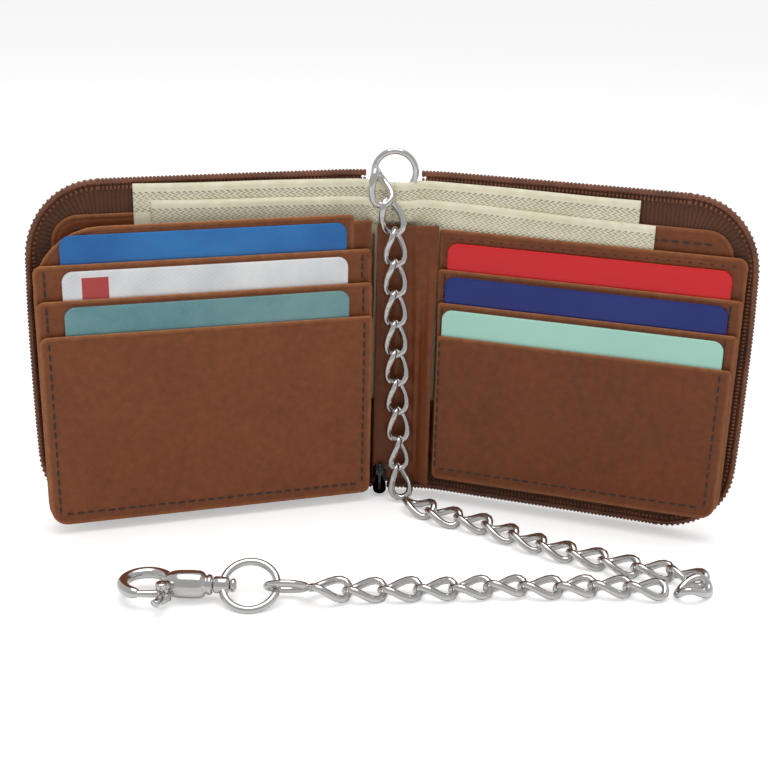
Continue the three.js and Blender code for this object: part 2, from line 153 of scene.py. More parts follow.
def tube(path, radius, sides=12, closed=False, start_normal=(0, 0, 1), squash=1.0):
    """A round section carried along a path. The section's first direction is carried from point to point
    without twisting; radius may be one number or one for each point. Open tubes are capped by fans."""
    path = np.asarray(path, float)
    count = len(path)
    ahead = np.roll(path, -1, 0) - np.roll(path, 1, 0)
    if not closed:
        ahead[0], ahead[-1] = path[1] - path[0], path[-1] - path[-2]
    ahead = unit(ahead)
    normals = np.empty_like(path)
    normal = np.asarray(start_normal, float)
    if abs(normal @ ahead[0]) > 0.9:
        normal = np.roll(normal, 1)
    for k in range(count):
        normal = unit(normal - ahead[k] * (normal @ ahead[k]))
        normals[k] = normal
    across = np.cross(ahead, normals)
    turn = np.linspace(0, 2 * np.pi, sides, endpoint=False)
    size = np.broadcast_to(np.asarray(radius, float), count)[:, None, None]
    ring = np.cos(turn)[None, :, None] * normals[:, None] * squash + np.sin(turn)[None, :, None] * across[:, None]
    vertices = (path[:, None] + size * ring).reshape(-1, 3)
    faces = [grid_faces(count, sides, wrap_rows=closed, wrap_columns=True)]
    if not closed:
        vertices = np.vstack([vertices, path[0], path[-1]])
        faces += closing_fans(count, sides)
    return vertices, outward(vertices, faces)


def gather(*solids):
    """Puts several (vertices, faces) solids into one."""
    vertices, faces, start = [], [], 0
    for points, face_sets in solids:
        vertices.append(points)
        faces += [part + start for part in (face_sets if isinstance(face_sets, list) else [face_sets])]
        start += len(points)
    return np.vstack(vertices), faces


def copies(unit_solid, places, axes):
    """One small solid at each place; axes holds the three directions that its x, y and z turn to."""
    points, face_sets = unit_solid
    face_sets = face_sets if isinstance(face_sets, list) else [face_sets]
    vertices = places[:, None] + np.einsum("vk,nkc->nvc", points, axes)
    shift = (np.arange(len(places)) * len(points))[:, None, None]
    faces = [(part[None] + shift).reshape(-1, part.shape[1]) for part in face_sets]
    return vertices.reshape(-1, 3), outward(vertices.reshape(-1, 3) - places.mean(0), faces)


def new_material(name, color, roughness=0.5, metallic=0.0, **sockets):
    """A material with a Principled shader set to plain values, ready for its nodes."""
    made = bpy.data.materials.new(name)
    made.use_nodes = True
    shader = made.node_tree.nodes["Principled BSDF"]
    shader.inputs["Base Color"].default_value = (*color, 1)
    shader.inputs["Roughness"].default_value = roughness
    shader.inputs["Metallic"].default_value = metallic
    for key, value in sockets.items():
        shader.inputs[key.replace("_", " ")].default_value = value
    return made, made.node_tree, shader


def node(tree, kind, links=None, **settings):
    """Adds a node; settings are its own properties, links its inputs' values or the sockets they come from."""
    made = tree.nodes.new("ShaderNode" + kind)
    for key, value in settings.items():
        setattr(made, key, value)
    for key, value in (links or {}).items():
        if isinstance(value, bpy.types.NodeSocket):
            tree.links.new(value, made.inputs[key])
        else:
            made.inputs[key].default_value = value
    return made


def ramp(tree, value, stops):
    """A colour ramp from (place, colour) stops."""
    made = node(tree, "ValToRGB", {"Fac": value})
    while len(made.color_ramp.elements) < len(stops):
        made.color_ramp.elements.new(0.5)
    for element, (place, color) in zip(made.color_ramp.elements, stops):
        element.position = place
        element.color = (*color, 1)
    return made.outputs["Color"]


def bump(tree, shader, height, strength, distance):
    """Feeds the shader's Normal from a height."""
    made = node(tree, "Bump", {"Height": height, "Strength": strength, "Distance": distance})
    tree.links.new(made.outputs["Normal"], shader.inputs["Normal"])


def metal(name, dark, light, roughness, streak):
    """Plated metal: its colour painted a little darker where it faces the eye, a painted reflection, with fine uneven
    polish.
    """
    made, tree, shader = new_material(name, light, roughness, 1.0)
    place = node(tree, "TexCoord").outputs["Object"]
    cloud = node(tree, "TexNoise", {"Vector": place, "Scale": 900, "Detail": 3}).outputs["Fac"]
    # The colour is painted darker where the metal faces the eye and paler at grazing angles: a painted reflection.
    facing = node(tree, "LayerWeight", {"Blend": 0.35}).outputs["Facing"]
    tree.links.new(ramp(tree, facing, [(0.0, dark), (0.75, light)]), shader.inputs["Base Color"])
    polish = node(tree, "MapRange", {"Value": cloud, "To Min": roughness - streak, "To Max": roughness + streak})
    tree.links.new(polish.outputs["Result"], shader.inputs["Roughness"])
    bump(tree, shader, cloud, 0.12, 0.00004)
    return made


NICKEL = metal("nickel", (0.58, 0.57, 0.56), (0.90, 0.90, 0.89), 0.13, 0.05)

CHAIN_DROP = [
    [-4.6, -5.3, 106.4], [-4.6, -7.0, 106.4], [-4.1, -9.2, 103.6], [-2.4, -9.6, 98.6], [-0.4, -9.2, 94],
    [0.7, -8.7, 88], [1.1, -8.5, 76], [1.6, -8.5, 60], [2.4, -8.5, 44], [3.2, -8.5, 28], [3.8, -8.7, 15],
    [4.2, -9.1, 9], [4.6, -10.0, 5.0], [5.7, -12.2, 3.3],
]
CHAIN_OUT = [
    [7.5, -15.8, 3.2], [12, -20.5, 3.2], [19, -26, 3.2], [29, -30.5, 3.2], [40, -39, 3.2], [51, -46.5, 3.2],
    [62, -52, 3.2], [73, -57, 3.2], [83, -59.5, 3.2], [90, -62.5, 3.2], [89.5, -68, 3.2], [83.4, -69.85, 3.2],
]
CHAIN_BACK = [
    [79.4, -70, 3.2], [71, -69, 3.2], [60, -68.6, 3.2], [49, -70, 3.2], [38, -69.6, 3.2], [26.5, -71.2, 3.2],
    [15, -72.6, 3.2], [4, -73.4, 3.2], [-6, -74.3, 3.2], [-14, -75.8, 3.7], [-20.1, -77, 4.7],
]


def curb_link():
    """One link: an oval whose wire also rises and falls twice per turn, x along the chain, z its flat side."""
    t = np.linspace(0, 2 * np.pi, 20, endpoint=False)
    line = np.stack([
        (LINK_LENGTH - LINK_WIRE) / 2 * np.cos(t),
        (LINK_WIDTH - LINK_WIRE) / 2 * np.sin(t),
        LINK_TWIST * np.sin(2 * t),
    ], -1)
    return tube(line, LINK_WIRE / 2, sides=8, closed=True)


def chain_run(name, points, body, start, wobble_seed, turns=0.0):
    """Links spaced evenly along the run's curve. A link's length lies along the curve, and its flat side
    keeps the way it faced at the start, carried along without twisting, with a small sway of its own."""
    points = np.array(points, float)
    low = points[:, 2] < 3.35
    points[low, 2] = CHAIN_LIE
    fine, length = spline(points, 0.4)
    count = round((length - 2 * start) / LINK_PITCH)
    spots = start + (np.arange(count) + 0.5) * (length - 2 * start) / count
    along = np.linspace(0, length, len(fine))
    places = np.stack([np.interp(spots, along, fine[:, k]) for k in range(3)], -1)
    reach = LINK_PITCH * 0.45
    before = np.stack([np.interp(spots - reach, along, fine[:, k]) for k in range(3)], -1)
    after = np.stack([np.interp(spots + reach, along, fine[:, k]) for k in range(3)], -1)
    forward = unit(after - before)
    random = np.random.default_rng(wobble_seed)
    normal = np.array([0.0, 0.0, 1.0])
    axes = np.empty((count, 3, 3))
    for k in range(count):
        normal = unit(normal - forward[k] * (normal @ forward[k]))
        sway = random.normal(0, 0.09) + turns
        side = np.cross(normal, forward[k])
        flat = unit(math.cos(sway) * normal + math.sin(sway) * side)
        axes[k] = [forward[k], np.cross(flat, forward[k]), flat]
    vertices, faces = copies(curb_link(), places, axes)
    piece = build(name, vertices, faces, body, NICKEL, "nickel")
    return piece, fine, length


drop, drop_path, drop_length = chain_run("chain_links_drop", CHAIN_DROP, "spine", 0.6, 3)
out_run, out_path, out_length = chain_run("chain_links_out", CHAIN_OUT, "chain_out", 0.0, 5)
back_run, back_path, back_length = chain_run("chain_links_back", CHAIN_BACK, "chain_back", 0.0, 8)
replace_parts(drop, "chain_drop")
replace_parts(out_run, "chain_out")
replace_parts(back_run, "chain_back")


# ---- Anchor ring, connector link and clasp ring ----
# Plain rings of the same nickel-plated wire. The anchor ring turns in a leather tab at the top of the
# spine; the connector joins the chain to the clasp's ring, whose boss carries the swivelling post.
RING_CENTRE = np.array([0.3, -3.6, 107.2])
RING_RADIUS = 6.3
RING_WIRE = 1.9
CLASP_AXIS = np.array([-77.0, 4.8])
CLASP_RING_X = -37.5
CLASP_RING_RADIUS = 7.65
CLASP_RING_WIRE = 2.2
CLASP_RING_TILT = math.radians(31)


def circle_path(centre, across, up, radius, stretch=1.0, count=64, arc=(0, 2 * np.pi), closed=True):
    """Points round a circle, or an arc of it, in the plane of two directions; stretch lengthens the first."""
    t = np.linspace(*arc, count, endpoint=not closed)[:, None]
    return np.asarray(centre) + radius * (stretch * np.cos(t) * np.asarray(across) + np.sin(t) * np.asarray(up))


def lathe_x(profile, centre, sides=40):
    """A profile of (x, radius) pairs turned about a line along X through (y, z), closed on its axis."""
    profile = np.asarray(profile, float)
    turn = np.linspace(0, 2 * np.pi, sides, endpoint=False)
    x = np.broadcast_to(profile[:, :1], (len(profile), sides))
    points = np.stack([
        x, centre[0] + profile[:, 1:] * np.cos(turn), centre[1] + profile[:, 1:] * np.sin(turn)], -1)
    points = points.reshape(-1, 3)
    return points, outward(points, [grid_faces(len(profile), sides, wrap_columns=True)])


anchor_ring = build("anchor_ring_wire", *tube(
    circle_path(RING_CENTRE, (1, 0, 0), (0, 0, 1), RING_RADIUS), RING_WIRE / 2, 16, closed=True),
    "anchor_ring", NICKEL, "nickel")
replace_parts(anchor_ring, "anchor_ring")

clasp_centre = np.array([CLASP_RING_X, *CLASP_AXIS])
ring_up = (0, math.cos(CLASP_RING_TILT), math.sin(CLASP_RING_TILT))
boss_near, boss_far = CLASP_RING_X - CLASP_RING_RADIUS + 2, CLASP_RING_X - CLASP_RING_RADIUS - 2.4
boss = lathe_x([
    (boss_near, 1.3), (boss_near, 1.9), (boss_near - 0.4, 2.3), (boss_far + 0.4, 2.4), (boss_far, 2.1),
    (boss_far, 1.3), (boss_near, 1.3)], CLASP_AXIS)
clasp_ring = build("clasp_ring_wire", *gather(tube(
    circle_path(clasp_centre, (1, 0, 0), ring_up, CLASP_RING_RADIUS), CLASP_RING_WIRE / 2, 16, closed=True), boss),
    "chain_back", NICKEL, "nickel")
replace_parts(clasp_ring, "clasp_ring")

LINK_X = CLASP_RING_X + 8.75 - 2.2 - 0.3 + 2.5 * 1.6
slant = math.sqrt(0.5)
connector = build("connector_link_wire", *tube(
    circle_path((LINK_X, *CLASP_AXIS), (1, 0, 0), (0, slant, -slant), 3.5, 1.6), 0.95, 14, closed=True),
    "chain_back", NICKEL, "nickel")
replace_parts(connector, "connector_link")


# ---- Trigger clasp ----
# Die-cast and plated: a turned barrel with the swivel post and its knob at one end and the claw at the
# other. A pin through the barrel's ears carries the sprung gate, which the thumb lever swings inwards.
BARREL_START = boss_far - 0.3
BARREL_END = BARREL_START - 13
CLAW_RADIUS = 6.0
CLAW_X = BARREL_END + 0.6 - CLAW_RADIUS
PIN = np.array([BARREL_END - 0.4, CLASP_AXIS[0] - CLAW_RADIUS + 0.8, CLASP_AXIS[1]])

barrel = lathe_x([
    (boss_near + 2.0, 0.001), (boss_near + 1.9, 1.3), (boss_near + 1.4, 1.95), (boss_near + 0.6, 1.95),
    (boss_near + 0.3, 1.6), (boss_near + 0.3, 1.0), (BARREL_START, 1.0), (BARREL_START, 2.4),
    (BARREL_START - 0.4, 2.8), (BARREL_START - 1.2, 2.9), (BARREL_START - 1.5, 2.6), (BARREL_START - 1.9, 2.6),
    (BARREL_START - 2.4, 3.4), (BARREL_START - 3.4, 3.85), (BARREL_START - 5.5, 3.98), (BARREL_END + 3.5, 3.9),
    (BARREL_END + 1.8, 3.6), (BARREL_END + 0.6, 3.0), (BARREL_END - 0.2, 2.3), (BARREL_END - 0.5, 0.001),
], CLASP_AXIS)
claw_turn = np.linspace(math.radians(-8), math.radians(262), 48)
claw_path = np.stack([
    CLAW_X + 1.1 * CLAW_RADIUS * np.cos(claw_turn),
    CLASP_AXIS[0] + CLAW_RADIUS * np.sin(claw_turn),
    np.full(48, CLASP_AXIS[1]),
], -1)
claw_size = 1.65 + 0.5 * np.exp(-((claw_turn - claw_turn[0]) / 0.5) ** 2)
claw_size[-4:] = [1.62, 1.5, 1.25, 0.8]
ear = lathe_x([(-1.9, 0.001), (-1.9, 1.2), (-1.6, 1.6), (-0.4, 1.6), (-0.1, 1.4), (-0.1, 0.001)], (0, 0), 20)


def upright(solid, centre, shift):
    """Turns a solid lathed about X so that its axis stands along Z at a centre, moved up by shift."""
    points, faces = solid
    points = points[:, ::-1]
    return points + centre + [0, 0, shift], outward(points, faces)


clasp_body = build("clasp_casting", *gather(
    barrel, tube(claw_path, claw_size, 16),
    upright(ear, PIN, 3.2), upright(ear, PIN, -1.2),
    tube([PIN + [1.8, 1.4, 1.9], PIN + [0, 0, 1.9]], 1.25, 12),
    tube([PIN + [1.8, 1.4, -1.9], PIN + [0, 0, -1.9]], 1.25, 12),
), "clasp", NICKEL, "nickel")
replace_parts(clasp_body, "clasp_body")
pin = build("trigger_rivet", *upright(lathe_x([
    (-2.8, 0.001), (-2.8, 0.6), (-2.6, 0.9), (-2.4, 0.5), (2.4, 0.5), (2.6, 0.9), (2.8, 0.6), (2.8, 0.001)],
    (0, 0), 20), PIN, 0), "clasp", NICKEL, "nickel")
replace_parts(pin, "trigger_pin")
gate_path = spline([PIN + [0.4, 0, 0], PIN + [-2.6, -0.7, 0], PIN + [-5.4, -0.8, 0], PIN + [-6.8, -0.8, 0]], 0.4)[0]
lever_path = spline([PIN + [0, 0.2, 0], PIN + [0.2, -2.2, 0], PIN + [-0.2, -4.2, -0.2], PIN + [-1.0, -5.6, -0.3]], 0.4)[0]
trigger = build("trigger_gate", *gather(
    tube(gate_path, np.linspace(1.15, 0.95, len(gate_path)), 12),
    tube(lever_path, np.linspace(1.0, 1.45, len(lever_path)), 12, squash=0.7),
), "trigger", NICKEL, "nickel")
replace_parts(trigger, "trigger")


# ---- Leather cover ----
# Cognac pull-up cowhide 1.2 mm thick, one hide from wing to wing round the spine, rounded at its outer
# corners. It is worked out as two halves that meet at the middle of the spine and bend at the folds.
OPEN_ANGLE = math.radians(17.5)
HALF_SPINE = 14.0
COVER_LENGTH = 91.0
COVER_FOOT = 8.0
COVER_TOP = 100.0
COVER_CORNER = 15.0
FOLD = {-1: "left_wing", 1: "right_wing"}


def smooth(x, low, high):
    """0 below low, 1 above high, and an even S between them."""
    t = np.clip((x - low) / (high - low), 0, 1)
    return t * t * (3 - 2 * t)


def wing_wave(u, z):
    """How far a wing's layers bow together: slow swells that fade out towards the fold, in millimetres."""
    away = np.clip(u / 30, 0, 1)
    return away * (0.09 * np.sin(u / 17 + 0.6) * np.sin(z / 23 + 0.4) + 0.05 * np.sin(u / 9.5 + z / 14))


def on_wing(side, u, v, z):
    """A wing's own distances as a place in the frame: u out from the fold, v in from the cover, z up.
    Inside the fold line the layers carry straight on over the spine, rounding the corner between."""
    u, v, z = np.broadcast_arrays(np.asarray(u, float), v, z)
    v = v + wing_wave(u, z)
    soft = 5.0
    turned = np.where(u > soft, u, np.where(u < -soft, 0.0, (u + soft) ** 2 / (4 * soft)))
    straight = u - turned
    lean = OPEN_ANGLE * np.clip((u + soft) / (2 * soft), 0, 1)
    x = HALF_SPINE + straight + turned * math.cos(OPEN_ANGLE) - v * np.sin(lean)
    y = -turned * math.sin(OPEN_ANGLE) - v * np.cos(lean)
    return np.stack([side * x, y, z], -1)


def outline(u0, u1, z0, z1, radii, inset=0.0, per_side=26, per_corner=9):
    """A rounded rectangle as a loop of points, drawn in by inset; corners go low-near, low-far, high-far,
    high-near. Each corner is a quarter circle and each side has evenly spaced points."""
    radius = np.maximum(np.asarray(radii, float) - inset, 0.02)
    u0, z0, u1, z1 = u0 + inset, z0 + inset, u1 - inset, z1 - inset
    centres = np.array([
        [u0 + radius[0], z0 + radius[0]], [u1 - radius[1], z0 + radius[1]],
        [u1 - radius[2], z1 - radius[2]], [u0 + radius[3], z1 - radius[3]]])
    turn = np.linspace(0, np.pi / 2, per_corner)
    loop = []
    for k in range(4):
        angle = turn + np.pi * (1 + k / 2)
        loop.append(centres[k] + radius[k] * np.stack([np.cos(angle), np.sin(angle)], -1))
        start, end = loop[-1][-1], None
        following = (k + 1) % 4
        angle = np.pi * (1 + following / 2)
        end = centres[following] + radius[following] * np.array([math.cos(angle), math.sin(angle)])
        share = np.linspace(0, 1, per_side + 2)[1:-1, None]
        loop.append(start + share * (end - start))
    return np.vstack(loop)


LEATHER_EDGE = [(2.4, 0.0), (0.25, 0.0), (0.0, 0.3), (0.0, 0.7), (0.25, 1.0)]  # (inset, share of thickness)
CREASE = [(1.15, 1.0), (1.5, 0.72), (1.85, 1.0), (2.6, 1.0), (4.0, 1.0)]
PLAIN = [(1.2, 1.0), (2.6, 1.0)]


def plate(shape, thickness, place, front=CREASE, rings=9, edge=LEATHER_EDGE):
    """A flat closed piece with a rounded edge. Loops of the outline run from the middle of the back, round
    the edge, over the front's pressed crease and in to the middle; place puts (u, depth, z) in the frame.
    Returns vertices, faces, its own 0 to 1 coordinates, and the strength of a painted edge highlight: 1 at the edge,
    fading inwards."""
    loops, depths, insets = [], [], []
    middle = np.array([(shape[0] + shape[1]) / 2, (shape[2] + shape[3]) / 2])
    profile = edge + front
    for inset, share in profile:
        loops.append(outline(*shape, inset=inset))
        depths.append(share * thickness)
        insets.append(inset)
    for k, (base, depth) in enumerate(((loops[0], 0.0), (loops[-1], thickness))):
        share = np.linspace(1, 0.02, rings)[1:]
        inner = [middle + s * (base - middle) for s in share]
        if k == 0:
            loops = inner[::-1] + loops
            depths = [depth] * len(inner) + depths
            insets = [9.0] * len(inner) + insets
        else:
            loops += inner
            depths += [depth] * len(inner)
            insets += [9.0] * len(inner)
    flat = np.array(loops)
    rows, columns = flat.shape[:2]
    depth = np.broadcast_to(np.array(depths)[:, None], (rows, columns))
    vertices = place(flat[..., 0], depth, flat[..., 1]).reshape(-1, 3)
    ends = place(np.full(2, middle[0]), np.array([0.0, thickness]), np.full(2, middle[1]))
    faces = [grid_faces(rows, columns, wrap_columns=True), *closing_fans(rows, columns)]
    # Strength of the painted edge highlight: 1 at the edge, fading inwards.
    wear = np.append(np.repeat(np.exp(-np.array(insets) / 0.55), columns), [0, 0])
    uv = np.vstack([flat.reshape(-1, 2), middle, middle])
    uv = (uv - [shape[0], shape[2]]) / [shape[1] - shape[0], shape[3] - shape[2]]
    vertices = np.vstack([vertices, ends])
    return vertices, outward(vertices, faces), uv, wear


def wing_plate(name, side, shape, depth, thickness, material, slot, front=CREASE, body=None, **more):
    """A plate lying in a wing's layers at a depth from the cover."""
    vertices, faces, uv, wear = plate(
        shape, thickness, lambda u, d, z: on_wing(side, u, depth + d, z), front)
    if body:
        # The painted edge highlight fades out where the two halves meet at the middle of the spine.
        wear = wear * smooth(uv[:, 0], 0.0, 0.05)
    return build(name, vertices, faces, body or FOLD[side], material, slot, uv=uv, wear=wear, **more)


def bend(piece):
    """Takes a piece off its body and bakes its place into its mesh."""
    piece.parent = None
    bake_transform(piece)
    return piece


def leather_group():
    """Pull-up leather: cloudy colour between two tones, pebbled grain with fine wrinkles, and edges painted paler as a
    highlight.
    """
    group = bpy.data.node_groups.new("leather_surface", "ShaderNodeTree")
    for name, kind, value in (
            ("Dark", "NodeSocketColor", (0.1, 0.05, 0.02, 1)), ("Light", "NodeSocketColor", (0.3, 0.1, 0.05, 1)),
            ("Highlight", "NodeSocketColor", (0.5, 0.25, 0.1, 1)), ("Grain", "NodeSocketFloat", 1.0)):
        group.interface.new_socket(name, in_out="INPUT", socket_type=kind).default_value = value
    for name, kind in (("Color", "NodeSocketColor"), ("Roughness", "NodeSocketFloat"), ("Height", "NodeSocketFloat")):
        group.interface.new_socket(name, in_out="OUTPUT", socket_type=kind)
    given = group.nodes.new("NodeGroupInput").outputs
    result = group.nodes.new("NodeGroupOutput").inputs
    place = node(group, "TexCoord").outputs["Object"]
    cloud = node(group, "TexNoise", {"Vector": place, "Scale": 38, "Detail": 6, "Roughness": 0.62}).outputs["Fac"]
    fine = node(group, "TexNoise", {"Vector": place, "Scale": 420, "Detail": 4, "Roughness": 0.6}).outputs["Fac"]
    pebble = node(group, "TexVoronoi", {"Vector": place, "Scale": 1150}, feature="F1").outputs["Distance"]
    creases = node(group, "TexNoise", {"Vector": place, "Scale": 150, "Detail": 8, "Roughness": 0.75}).outputs["Fac"]
    crease_line = ramp(group, creases, [(0.44, (1, 1, 1)), (0.5, (0, 0, 0)), (0.56, (1, 1, 1))])
    tone = node(group, "MapRange", {"Value": cloud, "From Min": 0.25, "From Max": 0.75}).outputs["Result"]
    base = node(group, "MixRGB", {"Fac": tone, "Color1": given["Dark"], "Color2": given["Light"]}).outputs["Color"]
    speck = node(group, "MapRange", {"Value": fine, "From Min": 0.35, "From Max": 0.7, "To Min": 0.86,
                                     "To Max": 1.1}).outputs["Result"]
    toned = node(
        group, "MixRGB", {"Fac": 1.0, "Color1": base, "Color2": speck}, blend_type="MULTIPLY").outputs["Color"]
    # The colour is painted paler towards each piece's edges, broken up by fine noise: a painted edge highlight.
    wear = node(group, "Attribute", attribute_name="wear").outputs["Fac"]
    edge_highlight_share = node(group, "Math", {0: wear, 1: fine}, operation="MULTIPLY").outputs["Value"]
    edge_highlight_mix = node(group, "Math", {0: edge_highlight_share, 1: 1.5}, operation="MULTIPLY", use_clamp=True).outputs["Value"]
    color = node(group, "MixRGB", {"Fac": edge_highlight_mix, "Color1": toned, "Color2": given["Highlight"]}).outputs["Color"]
    group.links.new(color, result["Color"])
    shine = node(group, "MapRange", {"Value": cloud, "To Min": 0.34, "To Max": 0.46}).outputs["Result"]
    group.links.new(shine, result["Roughness"])
    lumps = node(group, "Math", {0: pebble, 1: -0.9}, operation="MULTIPLY").outputs["Value"]
    folds = node(group, "Math", {0: crease_line, 1: 0.35}, operation="MULTIPLY").outputs["Value"]
    height = node(group, "Math", {0: lumps, 1: folds}, operation="ADD").outputs["Value"]
    scaled = node(group, "Math", {0: height, 1: given["Grain"]}, operation="MULTIPLY").outputs["Value"]
    group.links.new(scaled, result["Height"])
    return group


LEATHER_GROUP = leather_group()


def leather(name, dark, light, highlight, grain=1.0):
    """A leather of its own tones, from the shared surface."""
    made, tree, shader = new_material(name, light, 0.45, Coat_Weight=0.03, Specular_IOR_Level=0.30)
    surface = tree.nodes.new("ShaderNodeGroup")
    surface.node_tree = LEATHER_GROUP
    for key, value in (("Dark", dark), ("Light", light), ("Highlight", highlight)):
        surface.inputs[key].default_value = (*value, 1)
    surface.inputs["Grain"].default_value = grain
    tree.links.new(surface.outputs["Color"], shader.inputs["Base Color"])
    tree.links.new(surface.outputs["Roughness"], shader.inputs["Roughness"])
    bump(tree, shader, surface.outputs["Height"], 0.30, 0.00022)
    return made


# Each leather's third tone is the pale colour of its painted edge highlight.
COGNAC = leather("cognac_leather", (0.205, 0.056, 0.015), (0.255, 0.074, 0.020), (0.44, 0.17, 0.06))
COGNAC_DEEP = leather("cognac_leather_deep", (0.170, 0.043, 0.011), (0.215, 0.058, 0.015), (0.40, 0.15, 0.05))
BROWN = leather("inner_brown_leather", (0.050, 0.021, 0.011), (0.095, 0.040, 0.019), (0.22, 0.10, 0.05), 0.7)

for side, name in FOLD.items():
    cover = wing_plate(f"{name}_cover_hide", side, (
        -HALF_SPINE, COVER_LENGTH, COVER_FOOT, COVER_TOP, [0.3, COVER_CORNER, COVER_CORNER, 0.3]),
        -0.6, 1.2, COGNAC, "leather", front=PLAIN, body="spine")
    bend(cover)
    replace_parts(cover, "left_cover" if side < 0 else "right_cover", *(["spine_cover"] if side < 0 else []))


# ---- Zip: woven tapes and nylon coils ----
# Polyester herringbone tape sewn inside the cover's edge on three sides of each wing, with a moulded nylon
# coil along its outer edge. The tape stands out past the leather and curls inwards at the outer corners.
TOOTH_PITCH = 1.15


def edge_line(start, step, foot_start=-13.4):
    """Points along three sides of the cover's edge, from near the fold along the foot, up, and back along
    the top, each with its outward direction."""
    r = COVER_CORNER
    foot = np.arange(foot_start, COVER_LENGTH - r, step)
    head = np.arange(start, COVER_LENGTH - r, step)
    up = np.arange(COVER_FOOT + r + step, COVER_TOP - r - step / 2, step)
    turn = np.linspace(0, np.pi / 2, round(r * np.pi / 2 / step) + 1)
    centre = COVER_LENGTH - r
    pieces = [
        (np.stack([foot, np.full(len(foot), COVER_FOOT)], -1), np.tile([0.0, -1.0], (len(foot), 1))),
        (np.stack([centre + r * np.sin(turn), COVER_FOOT + r - r * np.cos(turn)], -1),
         np.stack([np.sin(turn), -np.cos(turn)], -1)),
        (np.stack([np.full(len(up), COVER_LENGTH), up], -1), np.tile([1.0, 0.0], (len(up), 1))),
        (np.stack([centre + r * np.cos(turn), COVER_TOP - r + r * np.sin(turn)], -1),
         np.stack([np.cos(turn), np.sin(turn)], -1)),
        (np.stack([head[::-1], np.full(len(head), COVER_TOP)], -1), np.tile([0.0, 1.0], (len(head), 1))),
    ]
    spots = np.vstack([p for p, _ in pieces])
    outs = np.vstack([o for _, o in pieces])
    return spots, outs


def zip_place(side, spots, outs, offset, depth):
    """A place on the zip: offset out from the cover's edge, depth in from the cover. The outer corners curl
    inwards, the top one most, and the tape's ends bow towards the reader as the coil turns at the fold."""
    corner = np.clip(spots[..., 0] - 62, 0, 29) / 29
    top = np.exp(-((spots[..., 0] - 94) / 9) ** 2 - ((spots[..., 1] - 88) / 15) ** 2)
    foot = np.exp(-((spots[..., 0] - 92) / 10) ** 2 - ((spots[..., 1] - 16) / 15) ** 2)
    curl = 3.6 * top + 2.4 * foot + 0.5 * corner
    share = np.clip((offset + 1.0) / 8.8, 0, 1)
    reach = offset - 0.06 * curl * share * np.clip(offset, 0, None) * 0.5
    place = spots + reach[..., None] * outs
    return on_wing(side, place[..., 0], depth + curl * share ** 1.6, place[..., 1])


def tooth():
    """One turn of the coil as seen from the front: a bar across the tape with rounded ends."""
    bar = lathe_x(
        [(-1.05, 0.001), (-0.97, 0.3), (-0.72, 0.5), (0.6, 0.54), (0.95, 0.36), (1.08, 0.001)], (0, 0), 8)
    return bar[0] * [1, 0.98, 1.5], bar[1]


made, tree, shader = new_material("zip_tape_weave", (0.10, 0.045, 0.022), 0.85, Sheen_Weight=0.25)
uv = node(tree, "TexCoord").outputs["UV"]
parts = node(tree, "SeparateXYZ", {"Vector": uv}).outputs
rib = node(tree, "Math", {0: parts["X"], 1: 5.2}, operation="MULTIPLY").outputs["Value"]
cross = node(tree, "Math", {0: parts["Y"], 1: 7.0}, operation="MULTIPLY").outputs["Value"]
zig = node(tree, "Math", {0: cross, 1: 2.0}, operation="PINGPONG").outputs["Value"]
slope = node(tree, "Math", {0: rib, 1: zig}, operation="ADD").outputs["Value"]
wave = node(tree, "Math", {0: slope}, operation="SINE").outputs["Value"]
weave = node(tree, "MapRange", {"Value": wave, "From Min": -1.0, "To Min": 0.0, "To Max": 1.0}).outputs["Result"]
grit = node(tree, "TexNoise", {"Vector": node(tree, "TexCoord").outputs["Object"], "Scale": 260, "Detail": 4})
mixed = node(tree, "MixRGB", {"Fac": grit.outputs["Fac"], "Color1": (0.080, 0.026, 0.009, 1),
                              "Color2": (0.165, 0.058, 0.022, 1)}).outputs["Color"]
# The colour is darkened in the weave's grooves and lightened on its ribs, following the bump: painted shade and
# highlight on the weave.
dark = node(tree, "MapRange", {"Value": weave, "To Min": 0.62, "To Max": 1.12}).outputs["Result"]
shade = node(
    tree, "MixRGB", {"Fac": 1.0, "Color1": mixed, "Color2": dark}, blend_type="MULTIPLY").outputs["Color"]
tree.links.new(shade, shader.inputs["Base Color"])
bump(tree, shader, weave, 0.7, 0.0002)
TAPE = made

made, tree, shader = new_material("zip_coil_nylon", (0.20, 0.065, 0.028), 0.36, Coat_Weight=0.15)
place = node(tree, "TexCoord").outputs["Object"]
tone = node(tree, "TexNoise", {"Vector": place, "Scale": 120, "Detail": 3}).outputs["Fac"]
tree.links.new(ramp(tree, tone, [(0.3, (0.12, 0.038, 0.017)), (0.7, (0.26, 0.088, 0.038))]), shader.inputs["Base Color"])
ribbing = node(tree, "TexNoise", {"Vector": place, "Scale": 1500}).outputs["Fac"]
bump(tree, shader, ribbing, 0.15, 0.0001)
COIL = made

